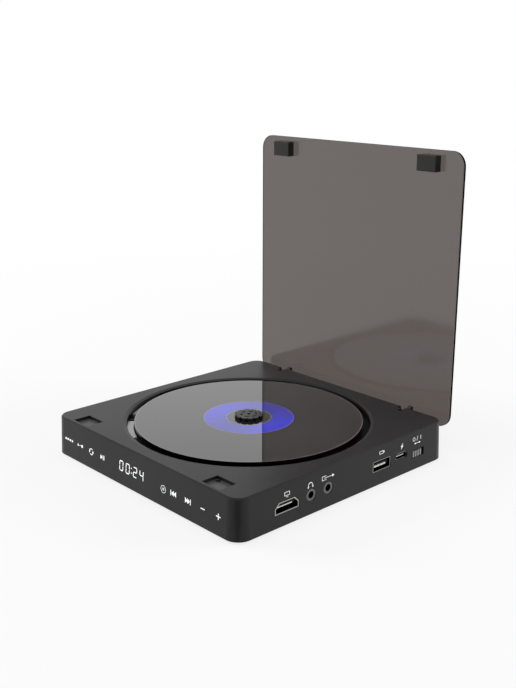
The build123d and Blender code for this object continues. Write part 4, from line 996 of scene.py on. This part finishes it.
# %% Plug and bolt
plug_sign = rectangle(18.2, 16.8, 20.9, 18.1) + [bar(21.1, 17.45, 21.9, 17.45, 0.8)]
BOLT_Y = 35.4
BOLT_Z = 16.25
BOLT_SHAPES = (
    ((0.8, 1.75), (-1.1, -0.25), (0.1, -0.25)),
    ((-0.8, -1.75), (1.1, 0.25), (-0.1, 0.25)),
    ((0.1, -0.25), (1.1, 0.25), (-0.1, 0.25), (-1.1, -0.25)),
)
bolt_sign = [[(BOLT_Y + y, BOLT_Z + z) for y, z in shape] for shape in BOLT_SHAPES]
side_marks += plug_sign + bolt_sign
print("with plug and bolt:", len(side_marks), "plates")

# %% [markdown]
# Over the sliding switch stand a ring for off and an upright bar for on, as on many switches, with
# a slash between them. A double arrow below them shows that the knob slides.

# %% Switch signs and the whole side print
SLIDE_Z = 14.9
off_ring = ring_bands(45.0, 17.35, 0.9, STROKE)
slash = bar(47.3, 16.2, 48.1, 18.5, STROKE)
on_bar = bar(50.4, 16.3, 50.4, 18.4, 0.36)
slide_shaft = bar(46.3, SLIDE_Z, 49.1, SLIDE_Z, 0.3)
slide_tips = [arrow_tip(49.5, SLIDE_Z, 0.7, 0), arrow_tip(45.9, SLIDE_Z, 0.7, 180)]
side_marks += off_ring + [slash, on_bar, slide_shaft] + slide_tips
plates("socket_print", side_marks, on_right, print_white)

# %% [markdown]
# The player stands on one plain sheet of white paper, large enough to fill the view. It lies a
# hair under the feet, because two faces in one plane would flicker.

# %% A sheet of paper
REACH = 4000.0
SHEET_Z = -0.05
corners = [(x * REACH * MM, y * REACH * MM, SHEET_Z * MM) for x, y in ((-1, -1), (1, -1), (1, 1), (-1, 1))]
floor_mesh = bpy.data.meshes.new("paper_floor")
floor_mesh.from_pydata(corners, [], [(0, 1, 2, 3)])
floor = bpy.data.objects.new("paper_floor", floor_mesh)
bpy.context.scene.collection.objects.link(floor)
print("floor", 2 * REACH * MM, "m wide")


# %% [markdown]
# A studio picture has a pure white background, yet the lamps must not burn out the player. Light
# Path tells which ray asks for a colour. Rays from the camera, from mirrors and through the lid
# may see plain white, while all others get the real paper or a weaker room. Floor and world both
# need that test, so it is one function.

# %% Rays that see white
def seen_by_eye(tree):
    paths = add(tree, "ShaderNodeLightPath")
    direct = add(tree, "ShaderNodeMath", {
        0: paths.outputs["Is Camera Ray"], 1: paths.outputs["Is Glossy Ray"],
    }, operation="MAXIMUM")
    seen = add(tree, "ShaderNodeMath", {
        0: direct.outputs["Value"], 1: paths.outputs["Is Transmission Ray"],
    }, operation="MAXIMUM")
    return paths, seen


print("white for camera, mirror and lid rays")

# %% [markdown]
# Uncoated paper is matt and scatters light evenly, so it has a high roughness and no specular
# part. Pale grey rather than white holds the player's soft shadow.

# %% Paper
paper, tree, shader = new_material("paper_white")
shader.inputs["Base Color"].default_value = linear("#E4E4E4")
shader.inputs["Roughness"].default_value = 0.9
shader.inputs["Specular IOR Level"].default_value = 0.0
print("paper:", paper.name)

# %% [markdown]
# The paper also glows white for the eye. The glow grows with the distance from the player: four
# fifths of it within 150 mm, so that the soft shadow stays, and all of it from 600 mm on, so that
# the edge of the view is pure white. Two materials would show a seam, and a gradient shows none.

# %% White glow of the paper
NEAR = 150.0
FAR = 600.0
NEAR_GLOW = 0.8
paths, seen = seen_by_eye(tree)
place = add(tree, "ShaderNodeTexCoord")
away = add(tree, "ShaderNodeVectorMath", {0: place.outputs["Object"]}, operation="LENGTH")
fade = add(tree, "ShaderNodeMapRange", {
    "Value": away.outputs["Value"],
    "From Min": NEAR * MM, "From Max": FAR * MM, "To Min": NEAR_GLOW, "To Max": 1.0,
})
share = add(tree, "ShaderNodeMath", {
    0: seen.outputs["Value"], 1: fade.outputs["Result"],
}, operation="MULTIPLY")
glow = add(tree, "ShaderNodeEmission", {"Color": (1, 1, 1, 1)})
mix = add(tree, "ShaderNodeMixShader", {
    0: share.outputs["Value"], 1: shader.outputs["BSDF"], 2: glow.outputs["Emission"],
})
tree.links.new(mix.outputs["Shader"], tree.nodes["Material Output"].inputs["Surface"])
floor_mesh.materials.append(paper)
print("paper glows fully from", FAR, "mm")

# %% [markdown]
# Photographers lay a black card beside a glossy thing to give it a dark edge. Here such a card
# lies before the near corner, for mirrors only: the walls reflect the floor, so the corner falls
# darker, while the paper itself stays white. It is a soft sector of the floor's glow, found by
# the direction from the corner: the limits are cosines of the angle to the card's middle line.

# %% Dark card for the mirrors
CARD_DIRECTION = (0.68, -0.73, 0)
CARD_EDGE = 0.8
CARD_CORE = 0.97
CARD_DARKNESS = 0.85
from_corner = add(tree, "ShaderNodeVectorMath", {
    0: place.outputs["Object"], 1: (-RIGHT_X * MM, -FRONT_Y * MM, 0),
}, operation="ADD")
bearing = add(tree, "ShaderNodeVectorMath", {0: from_corner.outputs["Vector"]}, operation="NORMALIZE")
toward = add(tree, "ShaderNodeVectorMath", {
    0: bearing.outputs["Vector"], 1: CARD_DIRECTION,
}, operation="DOT_PRODUCT")
card = add(tree, "ShaderNodeMapRange", {
    "Value": toward.outputs["Value"],
    "From Min": CARD_EDGE, "From Max": CARD_CORE, "To Min": 0.0, "To Max": CARD_DARKNESS,
})
mirrored = add(tree, "ShaderNodeMath", {
    0: card.outputs["Result"], 1: paths.outputs["Is Glossy Ray"],
}, operation="MULTIPLY")
left_over = add(tree, "ShaderNodeMath", {0: 1.0, 1: mirrored.outputs["Value"]}, operation="SUBTRACT")
tree.links.new(left_over.outputs["Value"], glow.inputs["Strength"])
print("card takes", CARD_DARKNESS, "of the glow")

# %% [markdown]
# The room is plain white wherever it is seen straight, in a mirror or through the lid. As a
# source of light it is five times weaker and even, so that no shadow goes black and the lamps
# still shape the player.

# %% White room
ROOM_LIGHT = 0.2
world = bpy.data.worlds.new("white_room")
bpy.context.scene.world = world
world.use_nodes = True
tree = world.node_tree
for node in list(tree.nodes):
    tree.nodes.remove(node)
paths, seen = seen_by_eye(tree)
white = add(tree, "ShaderNodeBackground", {"Color": (1, 1, 1, 1), "Strength": 1.0})
soft = add(tree, "ShaderNodeBackground", {"Color": (1, 1, 1, 1), "Strength": ROOM_LIGHT})
mix = add(tree, "ShaderNodeMixShader", {
    0: seen.outputs["Value"], 1: soft.outputs["Background"], 2: white.outputs["Background"],
})
add(tree, "ShaderNodeOutputWorld", {"Surface": mix.outputs["Shader"]})
print("room light", ROOM_LIGHT)


# %% [markdown]
# A softbox is a large lamp behind cloth, which gives soft shadows. One stands at the left and one
# at the right, so that the corner between front and side falls darker, and one hangs above.
# They are hidden from the camera and from mirrors, because the white room is what shows there.

# %% Softboxes
def softbox(name, stand, target, size, watts):
    light = bpy.data.lights.new(name, "AREA")
    light.shape = "RECTANGLE"
    light.size = size[0] * MM
    light.size_y = size[1] * MM
    light.energy = watts
    lamp = bpy.data.objects.new(name, light)
    start = Vector([v * MM for v in stand])
    lamp.location = start
    lamp.rotation_euler = (Vector([v * MM for v in target]) - start).to_track_quat("-Z", "Y").to_euler()
    lamp.visible_camera = False
    lamp.visible_glossy = False
    bpy.context.scene.collection.objects.link(lamp)


OVER_PLAYER = (0, 0, 30)
TABLE = (0, 0, 0)
softbox("softbox_left", (-1150, -650, 500), OVER_PLAYER, size=(800, 600), watts=15)
softbox("softbox_right", (800, 1100, 500), OVER_PLAYER, size=(800, 600), watts=15)
softbox("softbox_top", (0, -100, 1400), TABLE, size=(1200, 1200), watts=10)
print("softboxes: 3")

# %% [markdown]
# The camera stands where the photograph was taken from: to the right and in front, a little
# above the lid's top. Its place and angles were fitted to the photograph by way of the disc,
# whose size is standard. Blender describes a camera by its lens, so the fitted focal length in
# pixels becomes millimetres on a sensor that spans the longer side of the frame.

# %% Lens of the camera
PHOTO_WIDTH = 516
PHOTO_HEIGHT = 688
FOCAL_PIXELS = 985.073
SENSOR = 36.0
camera_data = bpy.data.cameras.new("photo_camera")
camera_data.sensor_width = SENSOR
camera_data.lens = FOCAL_PIXELS / max(PHOTO_WIDTH, PHOTO_HEIGHT) * SENSOR
camera_data.clip_start = 0.01
camera_data.clip_end = 50
print("lens", round(camera_data.lens, 2), "mm")

# %% [markdown]
# Yaw and pitch give the direction of view, and a tenth of a degree of roll turns the picture
# about it. The camera's own three axes fill the columns of its matrix, which needs no thought
# about the order in which three Euler angles turn.

# %% Place of the camera
STAND = (361.374, -330.676, 206.229)
YAW = math.radians(47.2245)
PITCH = math.radians(-16.4934)
ROLL = math.radians(0.1006)
forward = Vector((-math.sin(YAW) * math.cos(PITCH), math.cos(YAW) * math.cos(PITCH), math.sin(PITCH)))
right = forward.cross(Vector((0, 0, 1))).normalized()
up = right.cross(forward)
tilted_right = right * math.cos(ROLL) + up * math.sin(ROLL)
tilted_up = up * math.cos(ROLL) - right * math.sin(ROLL)
turn = Matrix((tilted_right, tilted_up, -forward)).transposed()
camera = bpy.data.objects.new("photo_camera", camera_data)
camera.matrix_world = Matrix.Translation([v * MM for v in STAND]) @ turn.to_4x4()
bpy.context.scene.collection.objects.link(camera)
bpy.context.scene.camera = camera
bpy.context.scene.view_settings.view_transform = "Standard"
print("camera", [round(v) for v in STAND], "mm")
